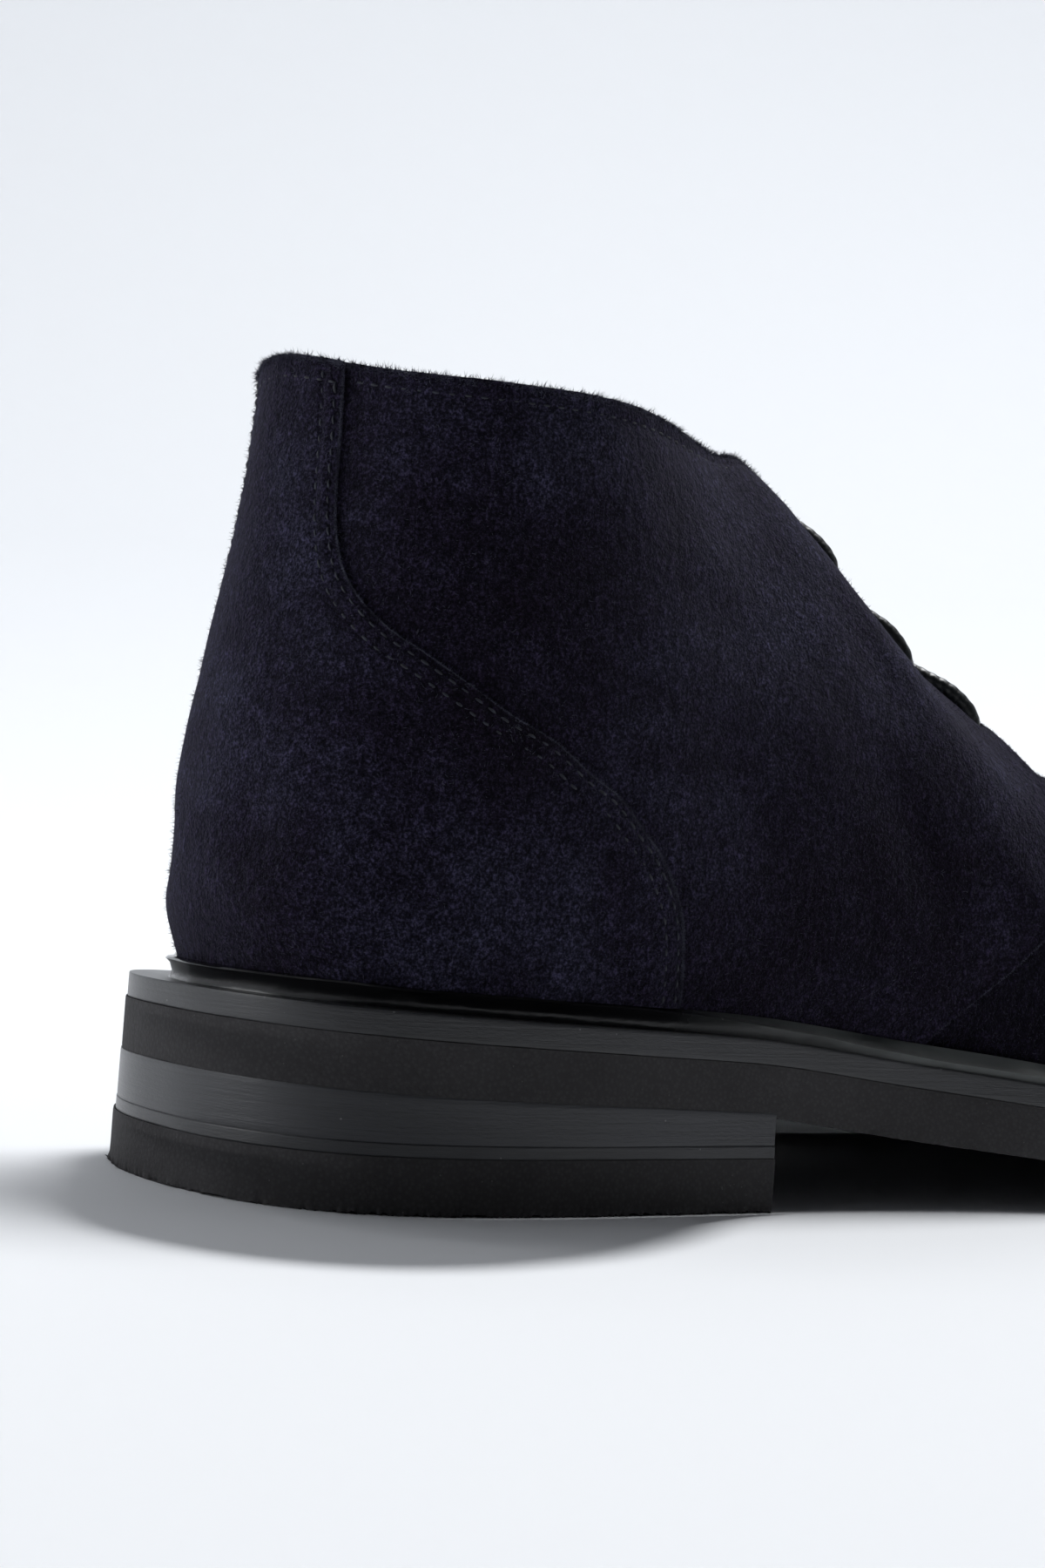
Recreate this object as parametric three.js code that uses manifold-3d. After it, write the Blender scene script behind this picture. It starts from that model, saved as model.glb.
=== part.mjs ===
// Chukka boot, right foot. Millimetres, +Z up, toe toward -Y, outer side toward -X.
// A three-eyelet ankle boot on a stacked heel: upper, counter, tongue, insole, welt, midsole,
// outsole, two heel lifts, top piece and three bars of lace.
import * as THREE from "three";
import { mergeVertices } from "three/addons/utils/BufferGeometryUtils.js";
import Module from "manifold-3d";

const wasm = await Module();
wasm.setup();

// Driving sizes of the boot.
const LENGTH = 302; // sole, heel to toe
const BALL_WIDTH = 111; // sole, across the ball
const HEEL_WIDTH = 78.6; // sole, across the heel
const HEEL_LENGTH = 83.8; // back of the heel to its breast
const SEAT = 28.6; // floor to the top of the midsole at the back
const COLLAR = 92.2; // midsole to the collar at the back
const INSTEP = 58; // midsole to the foot of the throat
const TOE_IN = 7; // how far the toe swings to the inner side
const WALL = 2; // upper
const GAP = 0.3; // between pieces
const MIDSOLE = 3.6;
const TOP_PIECE = 8;
const THIN_LIFT = 1.9;
const WELT = 3;
const INSOLE = 2.7;
const COUNTER = 1.1;
const TONGUE = 1.8;
const LACE = 2.6; // diameter

// The sections were laid out at these sizes; the driving sizes stretch them.
const alongBy = LENGTH / 302;
const acrossBy = BALL_WIDTH / 111;
const heelBy = HEEL_WIDTH / 78.6;
const collarBy = COLLAR / 92.2;
const instepBy = INSTEP / 58;

// One row per section round the foot, heel to toe.
// foot, lat, med: where the section leaves the sole, and its half widths on the two sides
// swell, rise, lean: how it goes out, up and along from there
// edge, half, high: where it ends, at the collar or the throat
// shoulder, drop, reach: how it comes to that end, from outside, below and ahead
const SECTION_COLUMNS = [
  "foot", "lat", "med", "swell", "rise", "lean", "edge", "half", "high", "shoulder", "drop", "reach",
];
const SECTIONS = [
  [8.9, 0, 0, 0, 22, -9.7, 12.3, 0, 120.8, 0, 35.5, 0.6],
  [12.6, 14.8, 14.8, 2.4, 22, -10.8, 16.3, 13.3, 119, 1, 36.5, 0.2],
  [22.5, 25.8, 25.8, 4.4, 22, -5.4, 23.6, 23, 117.7, 2, 34, 0.4],
  [42, 30.2, 29.8, 5, 22, 0, 36.5, 28.8, 117.5, 2.6, 34, 1],
  [70, 32, 29.5, 5, 23, -1, 52, 29, 117.5, 3.5, 33, 4],
  [97, 33, 28.5, 4.5, 25, -2, 66.5, 23.6, 116.3, 5.8, 29.5, 8],
  [120, 35, 30, 4, 27, -2, 79.5, 16.7, 114.4, 9.5, 15, 9],
  [142, 38.5, 34.5, 3.6, 29, -2, 91, 10.5, 114.2, 13.2, 11.5, 9],
  [164, 43, 40, 3.4, 29, -2, 106, 8, 102, 15, 17, 10],
  [186, 46.5, 45, 3.2, 27, -1, 122.5, 7.6, 88.5, 17, 12.5, 14],
  [207, 47.5, 48, 3, 25, 0, 137, 7.2, 78.4, 18, 14, 26],
  [231, 45.5, 47.5, 3, 23, 1, 146.5, 5.4, 74, 18.5, 12, 42],
  [257, 38.5, 40.5, 2.6, 21, 2, 150.6, 3.4, 73.2, 15, 13.5, 58],
  [281, 26, 27, 2.2, 20, 2.5, 152.4, 1.7, 72.8, 8, 14.5, 68],
  [292.5, 0, 0, 0, 20, 3, 153, 0, 72.6, 0, 15, 72],
].map((row) => Object.fromEntries(SECTION_COLUMNS.map((name, i) => [name, row[i]])));

// The sole's outline, row for row beside the sections.
const OUTLINE = [
  { at: 0, lat: 0, med: 0 },
  { at: 2.3, lat: 17, med: 17 },
  { at: 14, lat: 33, med: 33 },
  { at: 38.5, lat: 39.3, med: 39.3 },
  { at: 70, lat: 39, med: 38.4 },
  { at: 97, lat: 38.4, med: 35.6 },
  { at: 120, lat: 40, med: 36 },
  { at: 142, lat: 44, med: 40 },
  { at: 164, lat: 49.4, med: 46 },
  { at: 186, lat: 53.8, med: 51.4 },
  { at: 207, lat: 55.6, med: 55.2 },
  { at: 231, lat: 53.4, med: 55 },
  { at: 258, lat: 46.5, med: 48.5 },
  { at: 286, lat: 31, med: 32 },
  { at: 302, lat: 0, med: 0 },
];

// Height off the floor of the tread ahead of the heel, and of the midsole's top.
const TREAD = [
  { at: 84, off: 13.9 },
  { at: 110, off: 10.7 },
  { at: 136, off: 8 },
  { at: 165, off: 4 },
  { at: 190, off: 0.9 },
  { at: 204, off: 0 },
  { at: 222, off: 0 },
  { at: 262, off: 3.4 },
  { at: 302, off: 12.3 },
];
const BED = [
  { at: 0, up: 28.6 },
  { at: 30, up: 27.5 },
  { at: 60, up: 26.4 },
  { at: 84, up: 25.3 },
  { at: 110, up: 22.5 },
  { at: 136, up: 19.8 },
  { at: 165, up: 15.8 },
  { at: 190, up: 12.7 },
  { at: 204, up: 11.8 },
  { at: 222, up: 11.8 },
  { at: 262, up: 15.2 },
  { at: 302, up: 24.1 },
];

// The counter's front edge in side view, top to bottom.
const COUNTER_EDGE = [
  { at: 14.6, up: 126 },
  { at: 13.7, up: 104 },
  { at: 13.2, up: 94 },
  { at: 15, up: 85.5 },
  { at: 22.4, up: 77.3 },
  { at: 35.7, up: 70.1 },
  { at: 48.7, up: 62.8 },
  { at: 58, up: 55.5 },
  { at: 65, up: 45 },
  { at: 67.6, up: 34 },
  { at: 67.8, up: 20 },
];

// The three eyelets of a side, top to bottom: round the ring, and up the side.
const EYELETS = [
  { name: "top", round: 7.4, up: 0.8 },
  { name: "middle", round: 8.2, up: 0.8 },
  { name: "low", round: 9, up: 0.8 },
];

const LAST_ROW = SECTIONS.length - 1;
const ROUND = 2 * LAST_ROW; // one turn of the ring
const RINGS = 16; // steps up the side
const COLUMNS = 84; // steps round the foot

const V = (along, across, up) => new THREE.Vector3(along, across, up);

function toeSwing(along) {
  const k = Math.max(0, (along - 150) / 150);
  return -TOE_IN * k * k;
}

// A smooth value between the rows of a table.
function between(rows, key, value, x) {
  let i = 0;
  while (i < rows.length - 2 && x > rows[i + 1][key]) i++;
  const row = (k) => rows[Math.min(rows.length - 1, Math.max(0, k))];
  const slope = (k) =>
    (row(k + 1)[value] - row(k - 1)[value]) / (row(k + 1)[key] - row(k - 1)[key]);
  const span = rows[i + 1][key] - rows[i][key];
  const t = Math.min(1, Math.max(0, (x - rows[i][key]) / span));
  const a = rows[i][value];
  const b = rows[i + 1][value];
  const ma = slope(i) * span;
  const mb = slope(i + 1) * span;
  return (
    a * (1 - 3 * t * t + 2 * t ** 3) +
    b * (3 * t * t - 2 * t ** 3) +
    ma * t * (1 - t) ** 2 -
    mb * t * t * (1 - t)
  );
}

// Underside of the outsole, its top, and the top of the midsole, at a place along the foot.
function treadAt(along) {
  const s = along / alongBy;
  if (along <= HEEL_LENGTH) return 17.2 - 0.03 * s;
  return Math.max(0, between(TREAD, "at", "off", s));
}
const midsoleTop = (along) => (between(BED, "at", "up", along / alongBy) * SEAT) / 28.6;
const outsoleTop = (along) => midsoleTop(along) - MIDSOLE;

// A closed smooth curve through the points of a ring.
function ringThrough(points) {
  let held = points.map((p) => p.clone());
  const n = points.length;
  for (let pass = 0; pass < 50; pass++)
    held = points.map((p, i) =>
      p
        .clone()
        .multiplyScalar(6)
        .sub(held[(i + n - 1) % n])
        .sub(held[(i + 1) % n])
        .divideScalar(4),
    );
  return (u) => {
    const turn = ((u % n) + n) % n;
    const i = Math.floor(turn);
    const f = turn - i;
    const at = (k) => held[(i + k + n) % n];
    return at(-1)
      .clone()
      .multiplyScalar((1 - f) ** 3 / 6)
      .addScaledVector(at(0), (3 * f ** 3 - 6 * f * f + 4) / 6)
      .addScaledVector(at(1), (-3 * f ** 3 + 3 * f * f + 3 * f + 1) / 6)
      .addScaledVector(at(2), f ** 3 / 6);
  };
}

// Both sides of a table as one ring: outer side heel to toe, then back along the inner side.
function bothSides(point) {
  const ring = [];
  for (let i = 0; i <= LAST_ROW; i++) ring.push(point(i, 1));
  for (let i = LAST_ROW - 1; i > 0; i--) ring.push(point(i, -1));
  return ringThrough(ring);
}

const footOf = (i, side) => {
  const r = SECTIONS[i];
  const along = r.foot * alongBy;
  const half = (side > 0 ? r.lat : r.med) * side * (i < 5 ? heelBy : acrossBy);
  return V(along, half + toeSwing(along), midsoleTop(along) + GAP);
};
const heightOf = (high) => SEAT + (high - 28.6) * (high > 95 ? collarBy : instepBy);
const edgeOf = (i, side) => {
  const r = SECTIONS[i];
  return V(r.edge * alongBy, r.half * side, heightOf(r.high));
};
const footRing = bothSides(footOf);
const swellRing = bothSides((i, side) => {
  const r = SECTIONS[i];
  return footOf(i, side).add(V(r.lean, r.swell * side, r.rise));
});
const shoulderRing = bothSides((i, side) => {
  const r = SECTIONS[i];
  const along = (r.edge + r.reach) * alongBy;
  return edgeOf(i, side).add(V(r.reach, r.shoulder * side + toeSwing(along) / 2, -r.drop));
});
const edgeRing = bothSides(edgeOf);

// The outside of the upper: round the ring by u, from the sole (t 0) to the edge (t 1).
function upperAt(u, t, edge = edgeRing) {
  const s = 1 - t;
  return footRing(u)
    .multiplyScalar(s ** 3)
    .addScaledVector(swellRing(u), 3 * t * s * s)
    .addScaledVector(shoulderRing(u), 3 * t * t * s)
    .addScaledVector(edge(u), t ** 3);
}
function upperOff(u, t, off, edge = edgeRing) {
  const h = 0.02;
  const low = Math.max(0, Math.min(t, 1) - h);
  const high = Math.min(1, t + h);
  const around = upperAt(u + h, t, edge).sub(upperAt(u - h, t, edge));
  const up = upperAt(u, high, edge).sub(upperAt(u, low, edge));
  const normal = up.cross(around).normalize();
  return upperAt(u, t, edge).addScaledVector(normal, off);
}

// The sole's outline drawn in by an amount.
const outlineRing = bothSides((i, side) => {
  const r = OUTLINE[i];
  const along = r.at * alongBy;
  const half = (side > 0 ? r.lat : r.med) * side * (i < 5 ? heelBy : acrossBy);
  return V(along, half + toeSwing(along), 0);
});
function outlineAt(u, inset) {
  const p = outlineRing(u);
  const d = outlineRing(u + 0.02).sub(outlineRing(u - 0.02)).normalize();
  return V(p.x + d.y * inset, p.y - d.x * inset, 0);
}
const steps = (n, from, to) =>
  Array.from({ length: n + 1 }, (_, i) => from + ((to - from) * i) / n);
const ringSteps = steps(COLUMNS, 0, ROUND).slice(0, COLUMNS);
const across = ringSteps.map((u) => outlineAt(u, 0).y);
const MIDDLE = (Math.max(...across) + Math.min(...across)) / 2;

// From along / across / up to the boot's own axes.
const placed = (p) => [MIDDLE - p.y, LENGTH / 2 - p.x, p.z];

function solidFrom(corners, faces) {
  const g = new THREE.BufferGeometry();
  g.setAttribute("position", new THREE.Float32BufferAttribute(corners.flat(), 3));
  g.setIndex(faces.flat());
  const merged = mergeVertices(g, 1e-4);
  const index = merged.index.array;
  const kept = [];
  for (let i = 0; i < index.length; i += 3) {
    const [a, b, c] = [index[i], index[i + 1], index[i + 2]];
    if (a !== b && b !== c && a !== c) kept.push(a, b, c);
  }
  const solidWith = (triangles) =>
    new wasm.Manifold(
      new wasm.Mesh({
        numProp: 3,
        vertProperties: new Float32Array(merged.attributes.position.array),
        triVerts: new Uint32Array(triangles),
      }),
    );
  const made = solidWith(kept);
  return made.volume() < 0 ? solidWith(kept.toReversed()) : made;
}

// A solid from a three.js geometry, each corner moved by a function.
function solidOfGeometry(geometry, move) {
  geometry.deleteAttribute("normal");
  geometry.deleteAttribute("uv");
  const merged = mergeVertices(geometry, 1e-3);
  const from = merged.attributes.position;
  const corners = [];
  for (let i = 0; i < from.count; i++)
    corners.push(move(from.getX(i), from.getY(i), from.getZ(i)));
  const faces = [];
  for (let i = 0; i < merged.index.count; i += 3)
    faces.push([...merged.index.array.subarray(i, i + 3)]);
  return solidFrom(corners, faces);
}

// A tube of section round a closed ring: loops[k][i] is corner k of the section at step i.
function ringSolid(loops) {
  const n = loops[0].length;
  const corners = loops.flat().map(placed);
  const faces = [];
  loops.forEach((_, k) => {
    const next = (k + 1) % loops.length;
    for (let i = 0; i < n; i++) {
      const j = (i + 1) % n;
      const [a, b, c, d] = [k * n + i, k * n + j, next * n + j, next * n + i];
      faces.push([a, b, c], [a, c, d]);
    }
  });
  return solidFrom(corners, faces);
}

// A slab between pairs of outer and inner points, from the back to the front.
function slab(pairs, bottomOf, topOf) {
  const corners = [];
  const faces = [];
  for (const [outer, inner] of pairs)
    for (const [p, level] of [
      [outer, topOf],
      [inner, topOf],
      [inner, bottomOf],
      [outer, bottomOf],
    ])
      corners.push(placed(V(p.x, p.y, level(p.x))));
  const quad = (a, b, c, d) => faces.push([a, b, c], [a, c, d]);
  for (let i = 0; i + 1 < pairs.length; i++)
    for (let k = 0; k < 4; k++)
      quad(4 * i + k, 4 * i + 4 + k, 4 * i + 4 + ((k + 1) % 4), 4 * i + ((k + 1) % 4));
  const last = 4 * (pairs.length - 1);
  quad(0, 1, 2, 3);
  quad(last + 3, last + 2, last + 1, last);
  return solidFrom(corners, faces);
}

const pairsOf = (count, from, to, point) =>
  steps(count, from, to).map((u) => [point(u), point(ROUND - u)]);

// The heel's layers share the outline up to the breast, where the outsole steps down.
let breast = 3;
while (outlineRing(breast).x < HEEL_LENGTH) breast += 0.002;
const soleSlab = (bottomOf, topOf, inset) =>
  slab(
    [...steps(COLUMNS / 2, 0, LAST_ROW), breast - 0.004, breast + 0.02]
      .toSorted((a, b) => a - b)
      .map((u) => [outlineAt(u, inset), outlineAt(ROUND - u, inset)]),
    bottomOf,
    topOf,
  );
const heelSlab = (bottomOf, topOf, inset) =>
  slab(pairsOf(18, 0, breast, (u) => outlineAt(u, inset)), bottomOf, topOf);

const toneOf = {
  suede: { color: 0x14121b, roughness: 0.95 },
  lining: { color: 0x1b1a20, roughness: 0.7 },
  welt: { color: 0x08080a, roughness: 0.25 },
  midsole: { color: 0x2a2b2f, roughness: 0.45 },
  rubber: { color: 0x1c1b1c, roughness: 0.85 },
  lace: { color: 0x10141a, roughness: 0.5 },
};
const boot = new THREE.Group();
boot.name = "chukka_boot";
function add(name, solid, tone) {
  const mesh = solid.getMesh();
  const g = new THREE.BufferGeometry();
  const stride = mesh.numProp;
  const xyz = [];
  for (let i = 0; i < mesh.numVert; i++)
    xyz.push(...mesh.vertProperties.subarray(i * stride, i * stride + 3));
  g.setAttribute("position", new THREE.Float32BufferAttribute(xyz, 3));
  g.setIndex(Array.from(mesh.triVerts));
  g.computeVertexNormals();
  const node = new THREE.Mesh(g, new THREE.MeshStandardMaterial(toneOf[tone]));
  node.name = name;
  boot.add(node);
  return solid;
}

// Upper: one hollow wall, open at the collar, the throat and underneath.
const rows = steps(RINGS, 0, 1);
const wallLoops = [
  ...rows.map((t) => ringSteps.map((u) => upperAt(u, t))),
  ...rows.toReversed().map((t) => ringSteps.map((u) => upperOff(u, t, -WALL))),
];
wallLoops.at(-1).forEach((p, i) => (p.z = wallLoops[0][i].z));
add("upper", ringSolid(wallLoops), "suede");

// Counter: a larger form less a smaller one, cut to its edge in side view.
const formLoops = (inner, outer, levels = rows) => [
  ...levels.map((t) => ringSteps.map((u) => upperOff(u, t, outer))),
  ...levels.toReversed().map((t) => ringSteps.map((u) => upperOff(u, t, inner))),
];
const shellForm = ringSolid(formLoops(GAP, GAP + COUNTER));
const edgePoints = steps(22, 0, COUNTER_EDGE.length - 1).map((k) => {
  const i = Math.min(COUNTER_EDGE.length - 2, Math.floor(k));
  const f = k - i;
  const row = (m) => COUNTER_EDGE[Math.min(COUNTER_EDGE.length - 1, Math.max(0, m))];
  const mix = (key) =>
    0.5 *
    (2 * row(i)[key] +
      (row(i + 1)[key] - row(i - 1)[key]) * f +
      (2 * row(i - 1)[key] - 5 * row(i)[key] + 4 * row(i + 1)[key] - row(i + 2)[key]) * f * f +
      (3 * row(i)[key] - row(i - 1)[key] - 3 * row(i + 1)[key] + row(i + 2)[key]) * f ** 3);
  return new THREE.Vector2(mix("at") * alongBy, heightOf(mix("up")));
});
const side = new THREE.Shape([
  new THREE.Vector2(-20, 126),
  ...edgePoints,
  new THREE.Vector2(-20, 20),
]);
const cutter = new THREE.ExtrudeGeometry(side, { depth: 120, bevelEnabled: false });
const heelBlock = solidOfGeometry(cutter, (x, y, z) => placed(V(x, z - 60, y)));

// The lowest part of the counter stops clear of the welt.
const aboveWelt = slab(
  [
    [V(-30, 60, 0), V(-30, -60, 0)],
    [V(40, 60, 0), V(40, -60, 0)],
    [V(90, 60, 0), V(90, -60, 0)],
  ],
  (along) => midsoleTop(Math.max(0, along)) + WELT + 3 * GAP,
  () => 140,
);
add("counter", shellForm.intersect(heelBlock).intersect(aboveWelt), "suede");

// Tongue: lies under the facings and closes the throat.
const closedEdge = (u) => {
  const turn = ((u % ROUND) + ROUND) % ROUND;
  const row = turn <= LAST_ROW ? turn : ROUND - turn;
  const k = Math.min(1, Math.max(0, (row - 6.3) / 0.8));
  const p = edgeRing(u);
  return V(p.x, p.y * (1 - k), p.z + 0.25 * Math.abs(p.y) * k);
};
const tongueFrom = 6.9;
const tongueSteps = 44;
const tongueTs = steps(6, 0.74, 1);
const tonguePoint = (u, t, off) => {
  const p = upperOff(u, t, off, closedEdge);
  if (t === 1) {
    const q = upperOff(ROUND - u, t, off, closedEdge);
    return V((p.x + q.x) / 2, 0, (p.z + q.z) / 2);
  }
  return p;
};
function tongueSolid() {
  const us = steps(tongueSteps, tongueFrom, ROUND - tongueFrom);
  const corners = [];
  const faces = [];
  const top = -(WALL + 2 * GAP);
  const wide = us.length;
  for (const off of [top, top - TONGUE])
    for (const t of tongueTs) for (const u of us) corners.push(placed(tonguePoint(u, t, off)));
  const id = (layer, k, i) => (layer * tongueTs.length + k) * wide + i;
  const quad = (a, b, c, d) => faces.push([a, b, c], [a, c, d]);
  for (let k = 0; k + 1 < tongueTs.length; k++)
    for (let i = 0; i + 1 < wide; i++) {
      quad(id(0, k, i), id(0, k, i + 1), id(0, k + 1, i + 1), id(0, k + 1, i));
      quad(id(1, k + 1, i), id(1, k + 1, i + 1), id(1, k, i + 1), id(1, k, i));
    }
  for (let i = 0; i + 1 < wide; i++)
    quad(id(1, 0, i), id(1, 0, i + 1), id(0, 0, i + 1), id(0, 0, i));
  for (let k = 0; k + 1 < tongueTs.length; k++) {
    quad(id(0, k, 0), id(0, k + 1, 0), id(1, k + 1, 0), id(1, k, 0));
    quad(id(1, k, wide - 1), id(1, k + 1, wide - 1), id(0, k + 1, wide - 1), id(0, k, wide - 1));
  }
  return solidFrom(corners, faces);
}
const wallRoom = ringSolid(formLoops(-(WALL + GAP), 1, [...rows, 1.02]));
const largest = (solid) => solid.decompose().toSorted((a, b) => b.volume() - a.volume())[0];
add("tongue", largest(tongueSolid().subtract(wallRoom)), "suede");

// Insole: a board inside the wall.
add(
  "insole",
  slab(
    pairsOf(COLUMNS / 2, 0, LAST_ROW, (u) => upperOff(u, 0, -(WALL + 2 * GAP))),
    (along) => midsoleTop(along) + GAP,
    (along) => midsoleTop(along) + GAP + INSOLE,
  ),
  "lining",
);

// Welt: narrow with a raised wall round the heel, wide and sloped round the forepart.
const weltInset = (row) => {
  const k = Math.min(1, Math.max(0, (row - 3.2) / 2.2));
  const back = Math.min(1, row / 1.6);
  return (3.6 + 3.4 * back) * (1 - k) + 1.6 * k;
};
const weltWall = (row) => {
  const k = Math.min(1, Math.max(0, (row - 3.6) / 2));
  return WELT * (1 - k) + 1.2 * k;
};
const rowOf = (u) => (u <= LAST_ROW ? u : ROUND - u);
const weltLoops = [[], [], [], []];
for (const u of ringSteps) {
  const outer = outlineAt(u, weltInset(rowOf(u)));
  const foot = upperOff(u, 0, 1.6 * GAP);
  const lip = upperOff(u, 0.045, 1.3 * GAP);
  const low = (p) => midsoleTop(p.x) + GAP;
  weltLoops[0].push(V(outer.x, outer.y, low(outer)));
  weltLoops[1].push(V(outer.x, outer.y, low(outer) + weltWall(rowOf(u))));
  weltLoops[2].push(V(lip.x, lip.y, low(lip) + WELT));
  weltLoops[3].push(V(foot.x, foot.y, low(foot)));
}
add("welt", ringSolid(weltLoops), "welt");

add("midsole", soleSlab((a) => outsoleTop(a) + GAP, midsoleTop, 0.8), "midsole");
add("outsole", soleSlab(treadAt, outsoleTop, 0.6), "rubber");

// Heel stack under the seat, down to the floor.
const seatUnder = (along) => treadAt(Math.min(along, HEEL_LENGTH)) - GAP;
const topPieceTop = () => TOP_PIECE;
const thinTop = () => TOP_PIECE + THIN_LIFT;
add("heel_lift", heelSlab((a) => thinTop(a) + GAP, seatUnder, 0.4), "midsole");
add("heel_lift_thin", heelSlab((a) => topPieceTop(a) + GAP, thinTop, 0.2), "midsole");
add("heel_top_piece", heelSlab(() => 0, topPieceTop, 0), "rubber");

// Lace: a bar over the throat at each pair of eyelets, lying on the two facings.
const barLevels = [0, 0.3, 0.6, 0.86];
const barLift = LACE / 2 + 1.6 * GAP;
for (const { name, round, up } of EYELETS) {
  const onSide = (turn, f) =>
    upperOff(turn > 0 ? round : ROUND - round, up * (1 - f) + f, barLift + 0.5 * f);
  const path = new THREE.CatmullRomCurve3(
    [
      ...barLevels.map((f) => onSide(1, f)),
      ...barLevels.toReversed().map((f) => onSide(-1, f)),
    ].map((p) => new THREE.Vector3(...placed(p))),
  );
  const section = new THREE.Shape(
    steps(8, 0, 2 * Math.PI)
      .slice(0, 8)
      .map((a) => new THREE.Vector2((Math.cos(a) * LACE) / 2, (Math.sin(a) * LACE) / 2)),
  );
  const tube = new THREE.ExtrudeGeometry(section, {
    extrudePath: path,
    steps: 24,
    bevelEnabled: false,
  });
  add("lace_bar_" + name, solidOfGeometry(tube, (x, y, z) => [x, y, z]), "lace");
}

export default boot;
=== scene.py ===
import math

import bpy
import numpy as np
from mathutils import Matrix, Vector


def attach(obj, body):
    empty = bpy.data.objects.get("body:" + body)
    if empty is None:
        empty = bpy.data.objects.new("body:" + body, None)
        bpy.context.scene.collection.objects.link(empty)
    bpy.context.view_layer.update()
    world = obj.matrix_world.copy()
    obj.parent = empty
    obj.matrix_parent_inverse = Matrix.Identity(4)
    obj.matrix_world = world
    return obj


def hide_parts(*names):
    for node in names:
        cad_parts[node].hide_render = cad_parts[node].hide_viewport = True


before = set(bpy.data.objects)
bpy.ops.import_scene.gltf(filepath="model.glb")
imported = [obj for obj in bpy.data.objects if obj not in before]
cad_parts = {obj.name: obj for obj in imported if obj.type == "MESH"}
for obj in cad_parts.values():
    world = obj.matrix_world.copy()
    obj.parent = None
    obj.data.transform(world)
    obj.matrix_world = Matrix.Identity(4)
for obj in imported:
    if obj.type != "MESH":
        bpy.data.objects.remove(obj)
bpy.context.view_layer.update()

bpy.ops.object.select_all(action="DESELECT")
print("frame loaded:", len(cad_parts), "nodes")

# Sizes in millimetres: s along the foot from the back of the sole, w across to the outer side, z up.
boot = {
    "length": 302, "heelLength": 83.8, "toeIn": 7, "wall": 2, "gap": 0.3, "midsole": 3.6,
    "topPiece": 8, "thinLift": 1.9, "welt": 3, "insole": 2.7, "counter": 1.1, "tongue": 1.8, "lace": 2.6,
}
sectionNames = "foot lat med swell rise lean edge half high shoulder drop reach".split()
sectionRows = [
    (8.9, 0, 0, 0, 22, -9.7, 12.3, 0, 120.8, 0, 35.5, 0.6),
    (12.6, 14.8, 14.8, 2.4, 22, -10.8, 16.3, 13.3, 119, 1, 36.5, 0.2),
    (22.5, 25.8, 25.8, 4.4, 22, -5.4, 23.6, 23, 117.7, 2, 34, 0.4),
    (42, 30.2, 29.8, 5, 22, 0, 36.5, 28.8, 117.5, 2.6, 34, 1),
    (70, 32, 29.5, 5, 23, -1, 52, 29, 117.5, 3.5, 33, 4),
    (97, 33, 28.5, 4.5, 25, -2, 66.5, 23.6, 116.3, 5.8, 29.5, 8),
    (120, 35, 30, 4, 27, -2, 79.5, 16.7, 114.4, 9.5, 15, 9),
    (142, 38.5, 34.5, 3.6, 29, -2, 91, 10.5, 114.2, 13.2, 11.5, 9),
    (164, 43, 40, 3.4, 29, -2, 106, 8, 102, 15, 17, 10),
    (186, 46.5, 45, 3.2, 27, -1, 122.5, 7.6, 88.5, 17, 12.5, 14),
    (207, 47.5, 48, 3, 25, 0, 137, 7.2, 78.4, 18, 14, 26),
    (231, 45.5, 47.5, 3, 23, 1, 146.5, 5.4, 74, 18.5, 12, 42),
    (257, 38.5, 40.5, 2.6, 21, 2, 150.6, 3.4, 73.2, 15, 13.5, 58),
    (281, 26, 27, 2.2, 20, 2.5, 152.4, 1.7, 72.8, 8, 14.5, 68),
    (292.5, 0, 0, 0, 20, 3, 153, 0, 72.6, 0, 15, 72),
]
outlineRows = [  # along, outer half width, inner half width
    (0, 0, 0), (2.3, 17, 17), (14, 33, 33), (38.5, 39.3, 39.3), (70, 39, 38.4), (97, 38.4, 35.6),
    (120, 40, 36), (142, 44, 40), (164, 49.4, 46), (186, 53.8, 51.4), (207, 55.6, 55.2),
    (231, 53.4, 55), (258, 46.5, 48.5), (286, 31, 32), (302, 0, 0),
]
treadRows = [  # along, height of the tread off the floor ahead of the heel
    (84, 13.9), (110, 10.7), (136, 8), (165, 4), (190, 0.9), (204, 0), (222, 0), (262, 3.4), (302, 12.3),
]
bedRows = [  # along, height of the midsole's top
    (0, 28.6), (30, 27.5), (60, 26.4), (84, 25.3), (110, 22.5), (136, 19.8), (165, 15.8),
    (190, 12.7), (204, 11.8), (222, 11.8), (262, 15.2), (302, 24.1),
]
section = {name: np.array([row[i] for row in sectionRows], float) for i, name in enumerate(sectionNames)}
lastRow = len(sectionRows) - 1
wholeTurn = 2 * lastRow


def rowOf(u):
    # how far round the ring from the heel, the same on both sides
    turn = np.mod(np.asarray(u, float), wholeTurn)
    return np.where(turn <= lastRow, turn, wholeTurn - turn)


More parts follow.
